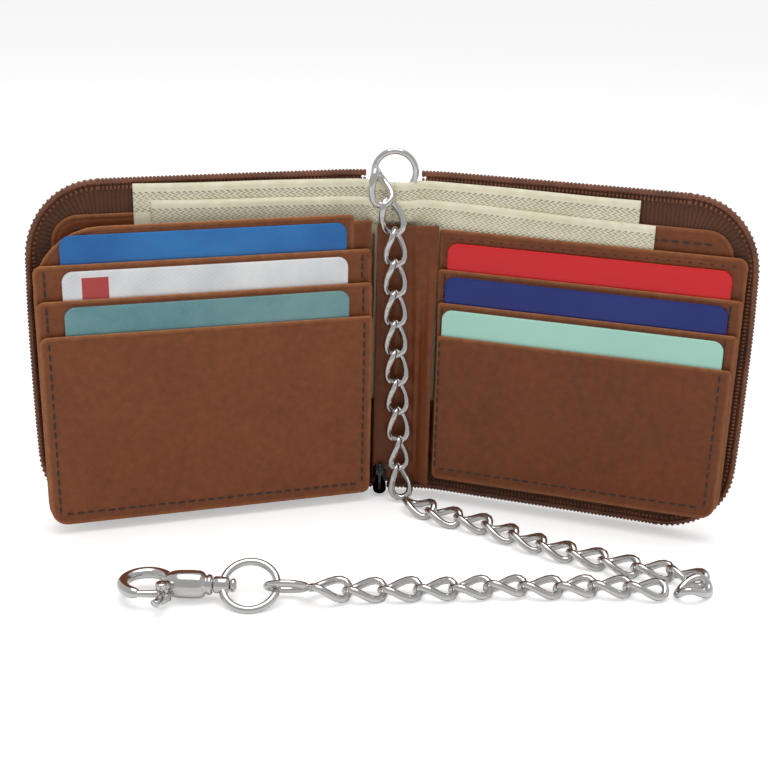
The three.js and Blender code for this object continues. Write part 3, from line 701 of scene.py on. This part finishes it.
for side, name in FOLD.items():
    word = "left" if side < 0 else "right"
    spots, outs = edge_line(-4.0, 1.0)
    section = np.array([
        [-5.0, 0.9], [-3, 0.9], [-1, 0.9], [1, 0.9], [3, 0.9], [4.4, 0.9], [5.6, 0.95], [5.75, 1.2], [5.6, 1.45],
        [4.4, 1.5], [3, 1.5], [1, 1.5], [-1, 1.5], [-3, 1.5], [-5.0, 1.5], [-5.15, 1.2]])
    rows, columns = len(spots), len(section)
    offset = np.broadcast_to(section[:, 0], (rows, columns))
    depth = np.broadcast_to(section[:, 1], (rows, columns))
    along = np.concatenate([[0], np.cumsum(np.linalg.norm(np.diff(spots, axis=0), axis=1))])
    vertices = zip_place(side, spots[:, None], outs[:, None], offset, depth).reshape(-1, 3)
    caps = vertices.reshape(rows, columns, 3)[[0, -1]].mean(1)
    faces = [grid_faces(rows, columns, wrap_columns=True), *closing_fans(rows, columns)]
    uv = np.stack([np.repeat(along, columns), offset.ravel()], -1)
    vertices = np.vstack([vertices, caps])
    tape = build(f"{word}_tape_weave", vertices, outward(vertices, faces), None, TAPE, "zip_tape",
                 uv=np.vstack([uv, uv[:1], uv[-1:]]))
    bend(tape)
    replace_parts(tape, f"{word}_zip_tape")

    spots, outs = edge_line(-5.0, TOOTH_PITCH)

    def tooth_rows(offset, depth, size):
        """Coil bars along the edge: each lies across the tape, square to it, at an offset and a depth."""
        centre = zip_place(side, spots, outs, np.full(len(spots), offset), np.full(len(spots), depth))
        further = zip_place(side, spots, outs, np.full(len(spots), offset + 0.8), np.full(len(spots), depth))
        across = unit(further - centre)
        ahead = unit(np.roll(centre, -1, 0) - np.roll(centre, 1, 0))
        ahead[0], ahead[-1] = ahead[1], ahead[-2]
        lift = unit(np.cross(across, ahead))
        ahead = np.cross(lift, across)
        points, bars = tooth()
        return copies((points * size, bars), centre, np.stack([across, ahead, lift], 1))

    coil = build(f"{word}_coil_teeth", *gather(
        tooth_rows(6.35, 1.3, [1.0, 1.0, 1.0]), tooth_rows(4.5, 1.7, [0.6, 0.8, 0.45]),
        tube(zip_place(side, spots, outs, np.full(len(spots), 6.3), np.full(len(spots), 1.25)), 0.78, 8)),
        None, COIL, "zip_coil")
    bend(coil)
    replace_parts(coil, f"{word}_zip_coil")


# ---- Stitching ----
# Bonded polyester thread, one lock stitch every 3.1 mm, pulled into the leather at both ends.
STITCH_PITCH = 3.1

made, tree, shader = new_material("thread", (0.30, 0.135, 0.06), 0.7, Sheen_Weight=0.2)
place = node(tree, "TexCoord").outputs["Object"]
ply = node(tree, "TexNoise", {"Vector": place, "Scale": 1400, "Detail": 2}).outputs["Fac"]
tree.links.new(ramp(tree, ply, [(0.3, (0.028, 0.011, 0.006)), (0.7, (0.062, 0.024, 0.011))]), shader.inputs["Base Color"])
bump(tree, shader, ply, 0.4, 0.0001)
THREAD = made


def stitches(name, lines, place, depth, body):
    """Stitches along lines of (u, z) corners on a layer whose surface is at a depth; each is a small spindle
    lying along its line, sunk a little at the ends."""
    spots, ways = [], []
    for line in lines:
        line = np.asarray(line, float)
        for start, end in zip(line[:-1], line[1:]):
            length = np.linalg.norm(end - start)
            count = max(1, round(length / STITCH_PITCH))
            share = (np.arange(count) + 0.5)[:, None] / count
            spots.append(start + share * (end - start))
            ways.append(np.tile((end - start) / length, (count, 1)))
    spots, ways = np.vstack(spots), np.vstack(ways)
    level = np.full(len(spots), depth)
    centre = place(spots[:, 0], level, spots[:, 1])
    ahead = unit(place(spots[:, 0] + ways[:, 0], level, spots[:, 1] + ways[:, 1]) - centre)
    lift = unit(place(spots[:, 0], level + 1, spots[:, 1]) - centre)
    across = np.cross(lift, ahead)
    spindle = lathe_x(
        [(-1.15, 0.001), (-1.0, 0.27), (-0.4, 0.4), (0.4, 0.4), (1.0, 0.27), (1.15, 0.001)], (0, 0), 6)
    return build(name, *copies(spindle, centre, np.stack([ahead, across, lift], 1)), body, THREAD, "leather_dark")


def on_left(u, v, z):
    """on_wing for the left wing."""
    return on_wing(-1, u, v, z)


def on_right(u, v, z):
    """on_wing for the right wing."""
    return on_wing(1, u, v, z)


# ---- Linings and dividers ----
# Dark brown split leather. The lining backs the cover inside the zip; the divider stands in front of it
# and makes the long note slot, with a line of stitches under its top edge.
for side, name in FOLD.items():
    word = "left" if side < 0 else "right"
    place = on_left if side < 0 else on_right
    lining = wing_plate(f"{word}_lining_sheet", side, (2.0, 85.7, 13.3, 94.7, [1, 10, 10, 1]), 0.9, 0.5, BROWN,
                        "lining", front=PLAIN)
    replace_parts(lining, f"{word}_lining")
    divider = wing_plate(f"{word}_divider_sheet", side, (2.5, 90.0, 9.0, 97.0, [1, 12, 8, 1]), 1.8, 0.6, COGNAC_DEEP,
                         "leather_dark")
    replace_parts(divider, f"{word}_divider")
    stitches(f"{word}_divider_stitches", [[(5, 92.8), (84, 92.8)]], place, 2.45, name)

spine_lining = build("spine_lining_sheet", *plate(
    (-11, 11, 3, 97, [1, 1, 1, 1]), 0.5, lambda x, d, z: np.stack([x, -0.9 - d, z], -1), PLAIN)[:2],
    "spine", BROWN, "lining")
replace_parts(spine_lining, "spine_lining")


# ---- Notes ----
# Two cream cotton-paper notes, 0.1 mm thick, standing in the note slots and bent across the fold in front
# of the ring's tab. Their print is a plain engraved border and fine lines, with no words or figures.
def paper(name, ink):
    """Note paper: cream fibres, with a dark engraved border, fine hatching and rosettes, in its own UV."""
    made, tree, shader = new_material(name, (0.78, 0.72, 0.55), 0.8)
    coords = node(tree, "TexCoord").outputs
    parts = node(tree, "SeparateXYZ", {"Vector": coords["UV"]}).outputs
    height = parts["Y"]
    fibre = node(tree, "TexNoise", {"Vector": coords["Object"], "Scale": 300, "Detail": 6}).outputs["Fac"]
    base = ramp(tree, fibre, [(0.3, (0.84, 0.79, 0.57)), (0.7, (0.96, 0.91, 0.70))])
    lines = node(tree, "Math", {0: parts["X"], 1: 3.4}, operation="MULTIPLY").outputs["Value"]
    tall = node(tree, "Math", {0: height, 1: 4.2}, operation="MULTIPLY").outputs["Value"]
    curve = node(tree, "Math", {0: tall}, operation="SINE").outputs["Value"]
    slant = node(tree, "Math", {0: lines, 1: curve}, operation="ADD").outputs["Value"]
    hatch = node(tree, "Math", {0: slant}, operation="SINE").outputs["Value"]
    rows = node(tree, "Math", {0: node(tree, "Math", {0: height, 1: 7.5}, operation="MULTIPLY").outputs["Value"]},
                operation="SINE").outputs["Value"]
    both = node(tree, "Math", {0: hatch, 1: rows}, operation="MULTIPLY").outputs["Value"]
    mesh = node(tree, "MapRange", {"Value": both, "From Min": -0.1, "From Max": 0.5}).outputs["Result"]
    band = node(tree, "MapRange", {"Value": height, "From Min": -8.6, "From Max": -2.4}).outputs["Result"]
    inside = ramp(tree, band, [(0.0, (0, 0, 0)), (0.05, (1, 1, 1)), (0.35, (0.5, 0.5, 0.5)), (0.9, (0.75, 0.75, 0.75)),
                               (0.96, (1, 1, 1)), (1.0, (0, 0, 0))])
    strength = node(tree, "Math", {0: inside, 1: mesh}, operation="MULTIPLY").outputs["Value"]
    inked = node(tree, "Math", {0: strength, 1: ink}, operation="MULTIPLY", use_clamp=True).outputs["Value"]
    color = node(tree, "MixRGB", {"Fac": inked, "Color1": base, "Color2": (0.045, 0.05, 0.04, 1)}).outputs["Color"]
    tree.links.new(color, shader.inputs["Base Color"])
    bump(tree, shader, fibre, 0.15, 0.0001)
    return made


NOTE_BACK = paper("note_paper_back", 0.9)
NOTE_FRONT = paper("note_paper_front", 0.85)


def sheet_faces(rows, columns):
    """Faces of a thin closed sheet made of two like grids, the back one first, joined round their rims."""
    count = rows * columns
    index = np.arange(count).reshape(rows, columns)
    rim = np.concatenate([index[0, :-1], index[:-1, -1], index[-1, :0:-1], index[:0:-1, 0]])
    following = np.roll(rim, -1)
    face = grid_faces(rows, columns)
    return [face[:, ::-1], face + count, np.stack([rim, following, following + count, rim + count], -1)]


def note_half(name, side, length, foot, top, end_top, depth, front, material):
    """Half a note, from the middle of the spine out to its end. Below the tab it lies behind the gutter;
    higher up it bows forward over the tab near the spine, and its free top edge ripples slightly."""
    u, share = np.meshgrid(np.linspace(-HALF_SPINE, length, 90), np.linspace(0, 1, 46))
    away = u + HALF_SPINE
    rise = top + (end_top - top) * away / (length + HALF_SPINE)
    z = foot + share * (rise - foot)
    bow = (1 - smooth(away, 3.4, 9.5)) * smooth(z, 90.2, 93.4)
    low = depth - 0.5 * (1 - smooth(away, 9, 17))
    ripple = 0.5 * smooth(z, 84, top + 4) * np.sin(u / 9 + depth) * smooth(away, 6, 40)
    near = np.stack([u, low + (front - low) * bow + ripple, z], -1)
    sheets = []
    for thick in (0.0, 0.14):
        sheets.append(on_wing(side, near[..., 0], near[..., 1] + thick, near[..., 2]).reshape(-1, 3))
    faces = sheet_faces(*u.shape)
    vertices = np.vstack(sheets)
    uv = np.tile(np.stack([u.ravel(), (z - rise).ravel()], -1), (2, 1))
    piece = build(name, vertices, outward(vertices, faces), None, material, "paper", uv=uv)
    return bend(piece)


for side, name, back_length, front_length, back_end, front_end in (
        (-1, "left", 66.0, 61.0, 105.6, 100.6), (1, "right", 62.0, 67.0, 104.0, 97.0)):
    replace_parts(note_half(f"{name}_note_back_paper", side, back_length, 38.0, 104.5, back_end, 2.7, 6.0, NOTE_BACK),
                f"note_back_{name}")
    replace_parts(note_half(f"{name}_note_front_paper", side, front_length, 33.0, 99.0, front_end, 3.15, 6.4,
                          NOTE_FRONT), f"note_front_{name}")


# ---- Ring tab ----
# A strip of cover leather looped through the anchor ring and sewn to the spine's top.
tab_line = spline([[0.3, -5.3, 93.2], [0.3, -5.3, 97], [0.3, -5.1, 100.2], [0.3, -3.7, 102.3], [0.3, -2.3, 100.4],
                   [0.3, -1.9, 97], [0.3, -1.9, 93.2]], 0.4)[0]
tab = build("ring_tab_strap", *tube(tab_line, 2.8, 20, start_normal=(0, 1, 0), squash=0.17), "spine", COGNAC,
            "leather_dark")
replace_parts(tab, "ring_tab")


# ---- Gutter ----
# The right-hand panel's soft leather carried on across the spine to the page's hinge. It lies in upright
# wrinkles where the fold squeezes it, and steps forward over the pockets' sewn inner edges.
GUTTER_FOOT = 6.0
GUTTER_TOP = 91.2


def gutter_sheet(thick):
    """The gutter's surface, thick in front of its back: across from the web to the right wing's first
    stitches, rising towards the stack's stepped side, with wrinkles that fade at the top and foot."""
    share, z = np.meshgrid(np.linspace(0, 1, 70), np.linspace(GUTTER_FOOT, GUTTER_TOP, 70))
    step = 4.5 + 1.8 * (1 - smooth(z, 75, 80)) + 1.8 * (1 - smooth(z, 65, 70)) + 1.8 * (1 - smooth(z, 55, 60))
    end = on_wing(1, 1.3, step, z)
    near = np.stack([-4.7 + 0 * z, -4.9 + 0 * z, z], -1)
    knee = np.stack([7.6 + 0 * z, -5.5 + 0 * z, z], -1)
    t = share[..., None]
    first = near + (knee - near) * np.clip(t / 0.55, 0, 1)
    rest = np.clip((t - 0.55) / 0.45, 0, 1)
    line = first + (end - knee) * (rest * rest * (3 - 2 * rest) * [0, 1, 0] + rest * [1, 0, 0])
    fade = np.sin(np.pi * np.clip((z - GUTTER_FOOT) / (GUTTER_TOP - GUTTER_FOOT), 0, 1)) ** 0.4
    ripple = fade * np.sin(np.pi * share) * (
        0.30 * np.sin(share * 24 + 0.5 * np.sin(z / 13)) + 0.2 * np.sin(share * 41 + z / 21))
    line[..., 1] -= ripple + thick
    return line


front, back = gutter_sheet(0.7), gutter_sheet(0.0)
faces = sheet_faces(*front.shape[:2])
vertices = np.vstack([back.reshape(-1, 3), front.reshape(-1, 3)])
gutter = build("gutter_leather", vertices, outward(vertices, faces), None, COGNAC_DEEP, "leather")
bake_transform(gutter)
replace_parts(gutter, "spine_panel")


# ---- Cards ----
# Plastic cards of the standard size, 0.76 mm thick, laminated with a soft gloss. They carry a plain colour,
# a faint printed pattern and no words or pictures.
CARD = (85.6, 54.0)
CARD_EDGE = [(1.2, 0.0), (0.06, 0.0), (0.0, 0.1), (0.0, 0.9), (0.06, 1.0)]


def card_plastic(name, color, second, scale, contrast, block=None):
    """Laminated card: two tones mixed by a soft cloud and fine diagonal lines, and perhaps a colour block."""
    made, tree, shader = new_material(name, color, 0.34, Coat_Weight=0.12, Coat_Roughness=0.15, Specular_IOR_Level=0.35)
    coords = node(tree, "TexCoord").outputs
    cloud = node(tree, "TexNoise", {"Vector": coords["Object"], "Scale": scale, "Detail": 5, "Roughness": 0.6})
    fac = node(tree, "MapRange", {"Value": cloud.outputs["Fac"], "From Min": 0.35, "From Max": 0.68, "To Max": contrast})
    parts = node(tree, "SeparateXYZ", {"Vector": coords["UV"]}).outputs
    diagonal = node(tree, "Math", {0: parts["X"], 1: parts["Y"]}, operation="ADD").outputs["Value"]
    many = node(tree, "Math", {0: diagonal, 1: 260.0}, operation="MULTIPLY").outputs["Value"]
    line = node(tree, "Math", {0: many}, operation="SINE").outputs["Value"]
    faint = node(tree, "Math", {0: line, 1: 0.05}, operation="MULTIPLY").outputs["Value"]
    total = node(tree, "Math", {0: fac.outputs["Result"], 1: faint}, operation="ADD", use_clamp=True).outputs["Value"]
    mixed = node(tree, "MixRGB", {"Fac": total, "Color1": (*color, 1), "Color2": (*second, 1)}).outputs["Color"]
    if block:
        left, right, low, high, tint = block
        mask = None
        for value, edge, test in ((parts["X"], left, "GREATER_THAN"), (parts["X"], right, "LESS_THAN"),
                                  (parts["Y"], low, "GREATER_THAN"), (parts["Y"], high, "LESS_THAN")):
            inside = node(tree, "Math", {0: value, 1: edge}, operation=test).outputs["Value"]
            mask = inside if mask is None else node(
                tree, "Math", {0: mask, 1: inside}, operation="MULTIPLY").outputs["Value"]
        mixed = node(tree, "MixRGB", {"Fac": mask, "Color1": mixed, "Color2": (*tint, 1)}).outputs["Color"]
    tree.links.new(mixed, shader.inputs["Base Color"])
    grain = node(tree, "TexNoise", {"Vector": coords["Object"], "Scale": 700}).outputs["Fac"]
    bump(tree, shader, grain, 0.03, 0.0001)
    return made


def card(colour, place, near, top, depth, material):
    """A card with its inner end at near and its top edge at top, its back at a depth in the layers. Its
    body and CAD node share one name."""
    name = f"card_{colour}"
    vertices, faces, uv, _ = plate(
        (near, near + CARD[0], top - CARD[1], top, [3.18] * 4), 0.76,
        lambda u, d, z: place(u, depth + d, z), [(0.6, 1.0), (1.5, 1.0)], 7, CARD_EDGE)
    piece = build(f"{colour}_card_plastic", vertices, faces, name, material, name, uv=uv)
    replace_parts(piece, name)


BLUE = card_plastic("card_blue", (0.012, 0.130, 0.420), (0.03, 0.24, 0.60), 30, 0.7)
PALE = card_plastic("card_pale", (0.93, 0.94, 0.95), (0.55, 0.59, 0.62), 55, 0.5,
                    (0.845, 0.935, 0.845, 0.965, (0.50, 0.06, 0.06)))
TEAL = card_plastic("card_teal", (0.115, 0.290, 0.320), (0.24, 0.42, 0.42), 45, 0.95)
RED = card_plastic("card_red", (0.78, 0.014, 0.020), (0.66, 0.010, 0.016), 25, 0.5)
NAVY = card_plastic("card_navy", (0.010, 0.022, 0.190), (0.018, 0.035, 0.235), 25, 0.6)
MINT = card_plastic("card_mint", (0.47, 0.82, 0.69), (0.42, 0.75, 0.63), 25, 0.5)


# ---- Right wing's panel and pockets ----
# Smooth tan hide, 0.8 mm: a full back panel and three pockets stepped one below another, each with a
# turned and creased top edge, sewn down both ends and along the foot through every layer.
POCKET_FOOT = 8.8
panel = wing_plate("right_panel_hide", 1, (1.5, 94.5, 8.3, 90.0, [1.5, 6, 3, 1]), 3.5, 0.7, COGNAC_DEEP, "leather")
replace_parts(panel, "right_panel")
stitches("right_panel_stitches", [[(4.2, 80), (4.2, 87.4), (92, 87.4)]], on_right, 3.88, "right_wing")
for number, (top, skin) in enumerate(((77.8, 5.56), (67.6, 7.42), (57.4, 9.28)), 1):
    pocket = wing_plate(f"right_pocket_{number}_hide", 1, (
        0.9 + 0.8 * number, 94.6 - 0.35 * number, POCKET_FOOT, top, [2, 5, 1.2, 1.2]), skin, 0.56,
        COGNAC_DEEP, "leather")
    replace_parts(pocket, f"right_pocket_{number}")
    low = POCKET_FOOT + 3.6 if number == 3 else top - 9.2
    lines = [[(4.4, top - 1.4), (4.4, low)], [(91.2 - 0.3 * number, top - 1.4), (91.2 - 0.3 * number, low)]]
    if number == 3:
        lines.append([(5.5, low), (88.5, low)])
    stitches(f"right_pocket_{number}_stitches", lines, on_right, skin + 0.54, "right_wing")
for colour, top, depth, material in (
        ("red", 86.1, 4.5, RED), ("navy", 75.9, 6.36, NAVY), ("mint", 65.7, 8.22, MINT)):
    card(colour, on_right, 4.9, top, depth, material)


# ---- Left wing's inner panel ----
# Dark leather with a window cut in it, closed by a clear vinyl sheet sewn behind the cut edge.
def frame_plate(outer, inner, thickness, place):
    """A plate with a hole: loops run from the outer edge over the front to the hole's edge and back
    behind, joined into one ring. outer and inner are outlines as plate takes them."""
    loops, depths = [], []
    for inset, share in [(0.25, 0.0), (0.0, 0.3), (0.0, 0.7), (0.25, 1.0), (1.4, 1.0)]:
        loops.append(outline(*outer, inset=inset))
        depths.append(share * thickness)
    inner_loops = [(-1.4, 1.0), (-0.2, 1.0), (0.0, 0.7), (0.0, 0.3), (-0.2, 0.0)]
    for share in (0.25, 0.5, 0.75):
        loops.append((1 - share) * outline(*outer, inset=1.4) + share * outline(*inner, inset=-1.4))
        depths.append(thickness)
    for inset, share in inner_loops:
        loops.append(outline(*inner, inset=inset))
        depths.append(share * thickness)
    for share in (0.75, 0.5, 0.25):
        loops.append((1 - share) * outline(*outer, inset=0.25) + share * outline(*inner, inset=-0.2))
        depths.append(0.0)
    flat = np.array(loops)
    depth = np.broadcast_to(np.array(depths)[:, None], flat.shape[:2])
    vertices = place(flat[..., 0], depth, flat[..., 1]).reshape(-1, 3)
    return vertices, outward(vertices, [grid_faces(*flat.shape[:2], wrap_rows=True, wrap_columns=True)])


inner_panel = build("left_inner_panel_hide", *frame_plate(
    (2.5, 89.5, 8.3, 93.0, [1.5, 6, 14, 1]), (61, 87, 16, 74, [3, 3, 3, 3]), 0.65,
    lambda u, d, z: on_left(u, 3.57 + d, z)), "left_wing", COGNAC, "leather_dark")
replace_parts(inner_panel, "left_inner_panel")
stitches("left_inner_panel_stitches", [[(5.5, 90.2), (76, 90.2)], [(86.9, 78), (86.9, 72)]], on_left, 4.02, "left_wing")

made, tree, shader = new_material("clear_vinyl", (0.85, 0.86, 0.84), 0.12, Coat_Weight=0.4, Alpha=0.35)
haze = node(tree, "TexNoise", {"Vector": node(tree, "TexCoord").outputs["Object"], "Scale": 60, "Detail": 3})
rough = node(tree, "MapRange", {"Value": haze.outputs["Fac"], "To Min": 0.08, "To Max": 0.24}).outputs["Result"]
tree.links.new(rough, shader.inputs["Roughness"])
bump(tree, shader, haze.outputs["Fac"], 0.1, 0.0006)
window = wing_plate("left_id_window_vinyl", -1, (60.2, 87.8, 15.2, 74.8, [2, 2, 2, 2]), 3.75, 0.3, made, "window",
                    front=PLAIN)
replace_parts(window, "left_id_window")


# ---- Page ----
# A stiff leaf of the same hide bound into the gutter, with three stepped pockets facing the reader. Its
# outer top corner is cut round, and its edges are creased and sewn like the panel's.
PAGE_PIVOT = np.array([-5.5, -7.7])


def on_page(u, w, z):
    """The page's own distances as a place in the frame: u out from its hinge, w towards the reader, z up."""
    u, w, z = np.broadcast_arrays(np.asarray(u, float), w, z)
    w = w + 0.14 * np.sin(u / 31 + 0.5) * np.sin(z / 33) * np.clip(u / 40, 0, 1)
    return np.stack([
        PAGE_PIVOT[0] - u * math.cos(OPEN_ANGLE) + w * math.sin(OPEN_ANGLE),
        PAGE_PIVOT[1] - u * math.sin(OPEN_ANGLE) - w * math.cos(OPEN_ANGLE),
        z], -1)


def page_plate(name, shape, depth, thickness, material, node_name, front=CREASE):
    """A plate in the page's layers, riding on the page and standing for a CAD node."""
    vertices, faces, uv, wear = plate(shape, thickness, lambda u, d, z: on_page(u, depth + d, z), front)
    piece = build(name, vertices, faces, "page", material, "leather", uv=uv, wear=wear)
    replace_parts(piece, node_name)
    return piece


page_plate("page_back_hide", (5.9, 102.0, 3.0, 94.5, [2, 6, 20, 1]), -3.1, 0.65, COGNAC, "page_back")
stitches("page_back_stitches", [[(9, 90.8), (82, 90.8)]], on_page, -2.42, "page")
page_plate("page_hinge_hide", (0.2, 6.6, 5.0, 92.5, [1, 1, 1, 1]), -3.0, 0.5, COGNAC_DEEP, "page_hinge_strip", PLAIN)
for number, (top, skin) in enumerate(((84.0, -1.13), (73.8, 0.73), (63.6, 2.59)), 1):
    page_plate(f"page_pocket_{number}_hide", (0.3 + 0.2 * number, 102.2 - 0.25 * number, 3.3, top, [2.5, 5, 2.5, 1.5]),
               skin - 0.08, 0.74, COGNAC, f"page_pocket_{number}")
    low = 6.9 if number == 3 else top - 9.4
    lines = [[(3.6, top - 1.5), (3.6, low)], [(98.8, top - 1.5), (98.8, low)]]
    if number == 3:
        lines.append([(5.0, low), (97.5, low)])
    stitches(f"page_pocket_{number}_stitches", lines, on_page, skin + 0.7, "page")
for colour, top, depth, material in (
        ("blue", 92.3, -2.19, BLUE), ("pale", 82.1, -0.33, PALE), ("teal", 71.9, 1.53, TEAL)):
    card(colour, on_page, 8.35, top, depth, material)

web_points = np.array([[-6.1, -2.6], [-5.5, -2.6], [-5.5, -4.5], [-5.8, -4.75], [-6.1, -4.5]])
levels = np.linspace(8, 88, 20)
loops = np.concatenate([np.tile(web_points, (len(levels), 1)), np.repeat(levels, len(web_points))[:, None]], -1)
loops[:, 0] += 0.12 * np.sin(loops[:, 2] / 9)
last = (len(levels) - 1) * len(web_points)
faces = [grid_faces(len(levels), len(web_points), wrap_columns=True)]
web = build("page_web_leather", loops, outward(loops, faces), "spine", COGNAC_DEEP, "leather_dark")
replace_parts(web, "page_web")


# ---- Zip end, slider and pull ----
# The coil's closed end runs up the spine's foot. The slider is die-cast zinc in black lacquer, with a
# bridge on its face that holds the small pull.
made, tree, shader = new_material("black_lacquer", (0.012, 0.012, 0.013), 0.16, 0.35, Coat_Weight=0.8, Coat_Roughness=0.06)
chips = node(tree, "TexNoise", {"Vector": node(tree, "TexCoord").outputs["Object"], "Scale": 420, "Detail": 6})
tree.links.new(ramp(tree, chips.outputs["Fac"], [(0.62, (0.010, 0.010, 0.011)), (0.74, (0.09, 0.09, 0.09))]),
               shader.inputs["Base Color"])
bump(tree, shader, chips.outputs["Fac"], 0.08, 0.0002)
LACQUER = made

heights = np.arange(1.4, 17.6, TOOTH_PITCH)
spots = np.stack([np.full(len(heights), -2.2), np.full(len(heights), -3.15), heights], -1)
frames = np.tile(np.array([[1.0, 0, 0], [0, 0, 1.0], [0, -1.0, 0]]), (len(heights), 1, 1))
end_coil = build("zip_end_teeth", *gather(
    copies((tooth()[0] * [1.25, 1, 0.75], tooth()[1]), spots, frames),
    tube([[-2.2, -2.75, 1.0], [-2.2, -2.75, 18.0]], 0.45, 10)), "spine", COIL, "zip_coil")
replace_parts(end_coil, "zip_end_coil")

ROUNDED = [(2.0, 0.0), (0.7, 0.0), (0.2, 0.12), (0.0, 0.3), (0.0, 0.62), (0.25, 0.82), (0.9, 0.95)]
slider_solid = plate((-5.1, 0.7, 4.1, 11.9, [1.6, 1.6, 2.6, 2.6]), 3.4,
                     lambda x, d, z: np.stack([x, -2.6 - d, z], -1), [(1.8, 1.0), (2.4, 1.0)], 6, ROUNDED)[:2]
bridge = tube(spline([[-2.2, -5.6, 11.4], [-2.2, -7.4, 11.6], [-2.2, -8.0, 10.6], [-2.2, -7.4, 9.4], [-2.2, -5.6, 8.0]],
                     0.4)[0], 0.6, 12)
slider = build("zip_slider_casting", *gather(slider_solid, bridge), "spine", LACQUER, "black_metal")
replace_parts(slider, "zip_slider")
tag = frame_plate((-4.0, -0.4, 1.3, 9.2, [1.3, 1.3, 0.8, 0.8]), (-3.0, -1.4, 2.6, 4.8, [0.7, 0.7, 0.7, 0.7]), 1.1,
                  lambda x, d, z: np.stack([x, -6.6 - d, z], -1))
eye = tube(circle_path((-2.2, -7.1, 9.9), (1, 0, 0), (0, 0, 1), 1.0, count=24), 0.42, 10, closed=True)
pull = build("zip_pull_tag", *gather(tag, eye), "zip_pull", LACQUER, "black_metal")
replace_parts(pull, "zip_pull")


# ---- Table and light ----
# A white studio table under soft frontal light.
floor_mesh = bpy.data.meshes.new("table_top")
floor_mesh.from_pydata([(-6, -6, 0), (6, -6, 0), (6, 6, 0), (-6, 6, 0)], [], [(0, 1, 2, 3)])
floor = bpy.data.objects.new("table_top", floor_mesh)
bpy.context.collection.objects.link(floor)
made, tree, shader = new_material("white_table", (0.9, 0.9, 0.9), 0.6)
seen = node(tree, "LightPath").outputs["Is Camera Ray"]
shader.inputs["Emission Color"].default_value = (1, 1, 1, 1)
glow = node(tree, "Math", {0: seen, 1: 0.42}, operation="MULTIPLY").outputs["Value"]
tree.links.new(glow, shader.inputs["Emission Strength"])
floor_mesh.materials.append(made)

for name, place, size, power in (
        ("key_light", (-0.45, -0.75, 0.75), 0.6, 5.5), ("fill_light", (0.55, -0.7, 0.6), 0.6, 4.0),
        ("top_light", (0.0, -0.1, 0.95), 0.7, 4.5), ("low_light", (0.05, -0.95, 0.25), 0.35, 1.0)):
    lamp = bpy.data.lights.new(name, "AREA")
    lamp.energy = power
    lamp.size = size
    light = bpy.data.objects.new(name, lamp)
    place = np.array(place)
    aim = unit(np.array([0.0, -0.02, 0.05]) - place)
    light.rotation_euler = (math.acos(-aim[2]), 0.0, math.atan2(aim[0], -aim[1]))
    light.location = place.tolist()
    bpy.context.collection.objects.link(light)

world = bpy.data.worlds.new("studio")
bpy.context.scene.world = world
world.use_nodes = True
world.node_tree.nodes["Background"].inputs["Color"].default_value = (1, 1, 1, 1)
seen = node(world.node_tree, "LightPath").outputs["Is Camera Ray"]
shown = node(world.node_tree, "MapRange", {"Value": seen, "To Min": 0.55, "To Max": 1.0}).outputs["Result"]
world.node_tree.links.new(shown, world.node_tree.nodes["Background"].inputs["Strength"])
bpy.context.scene.view_settings.view_transform = "Standard"
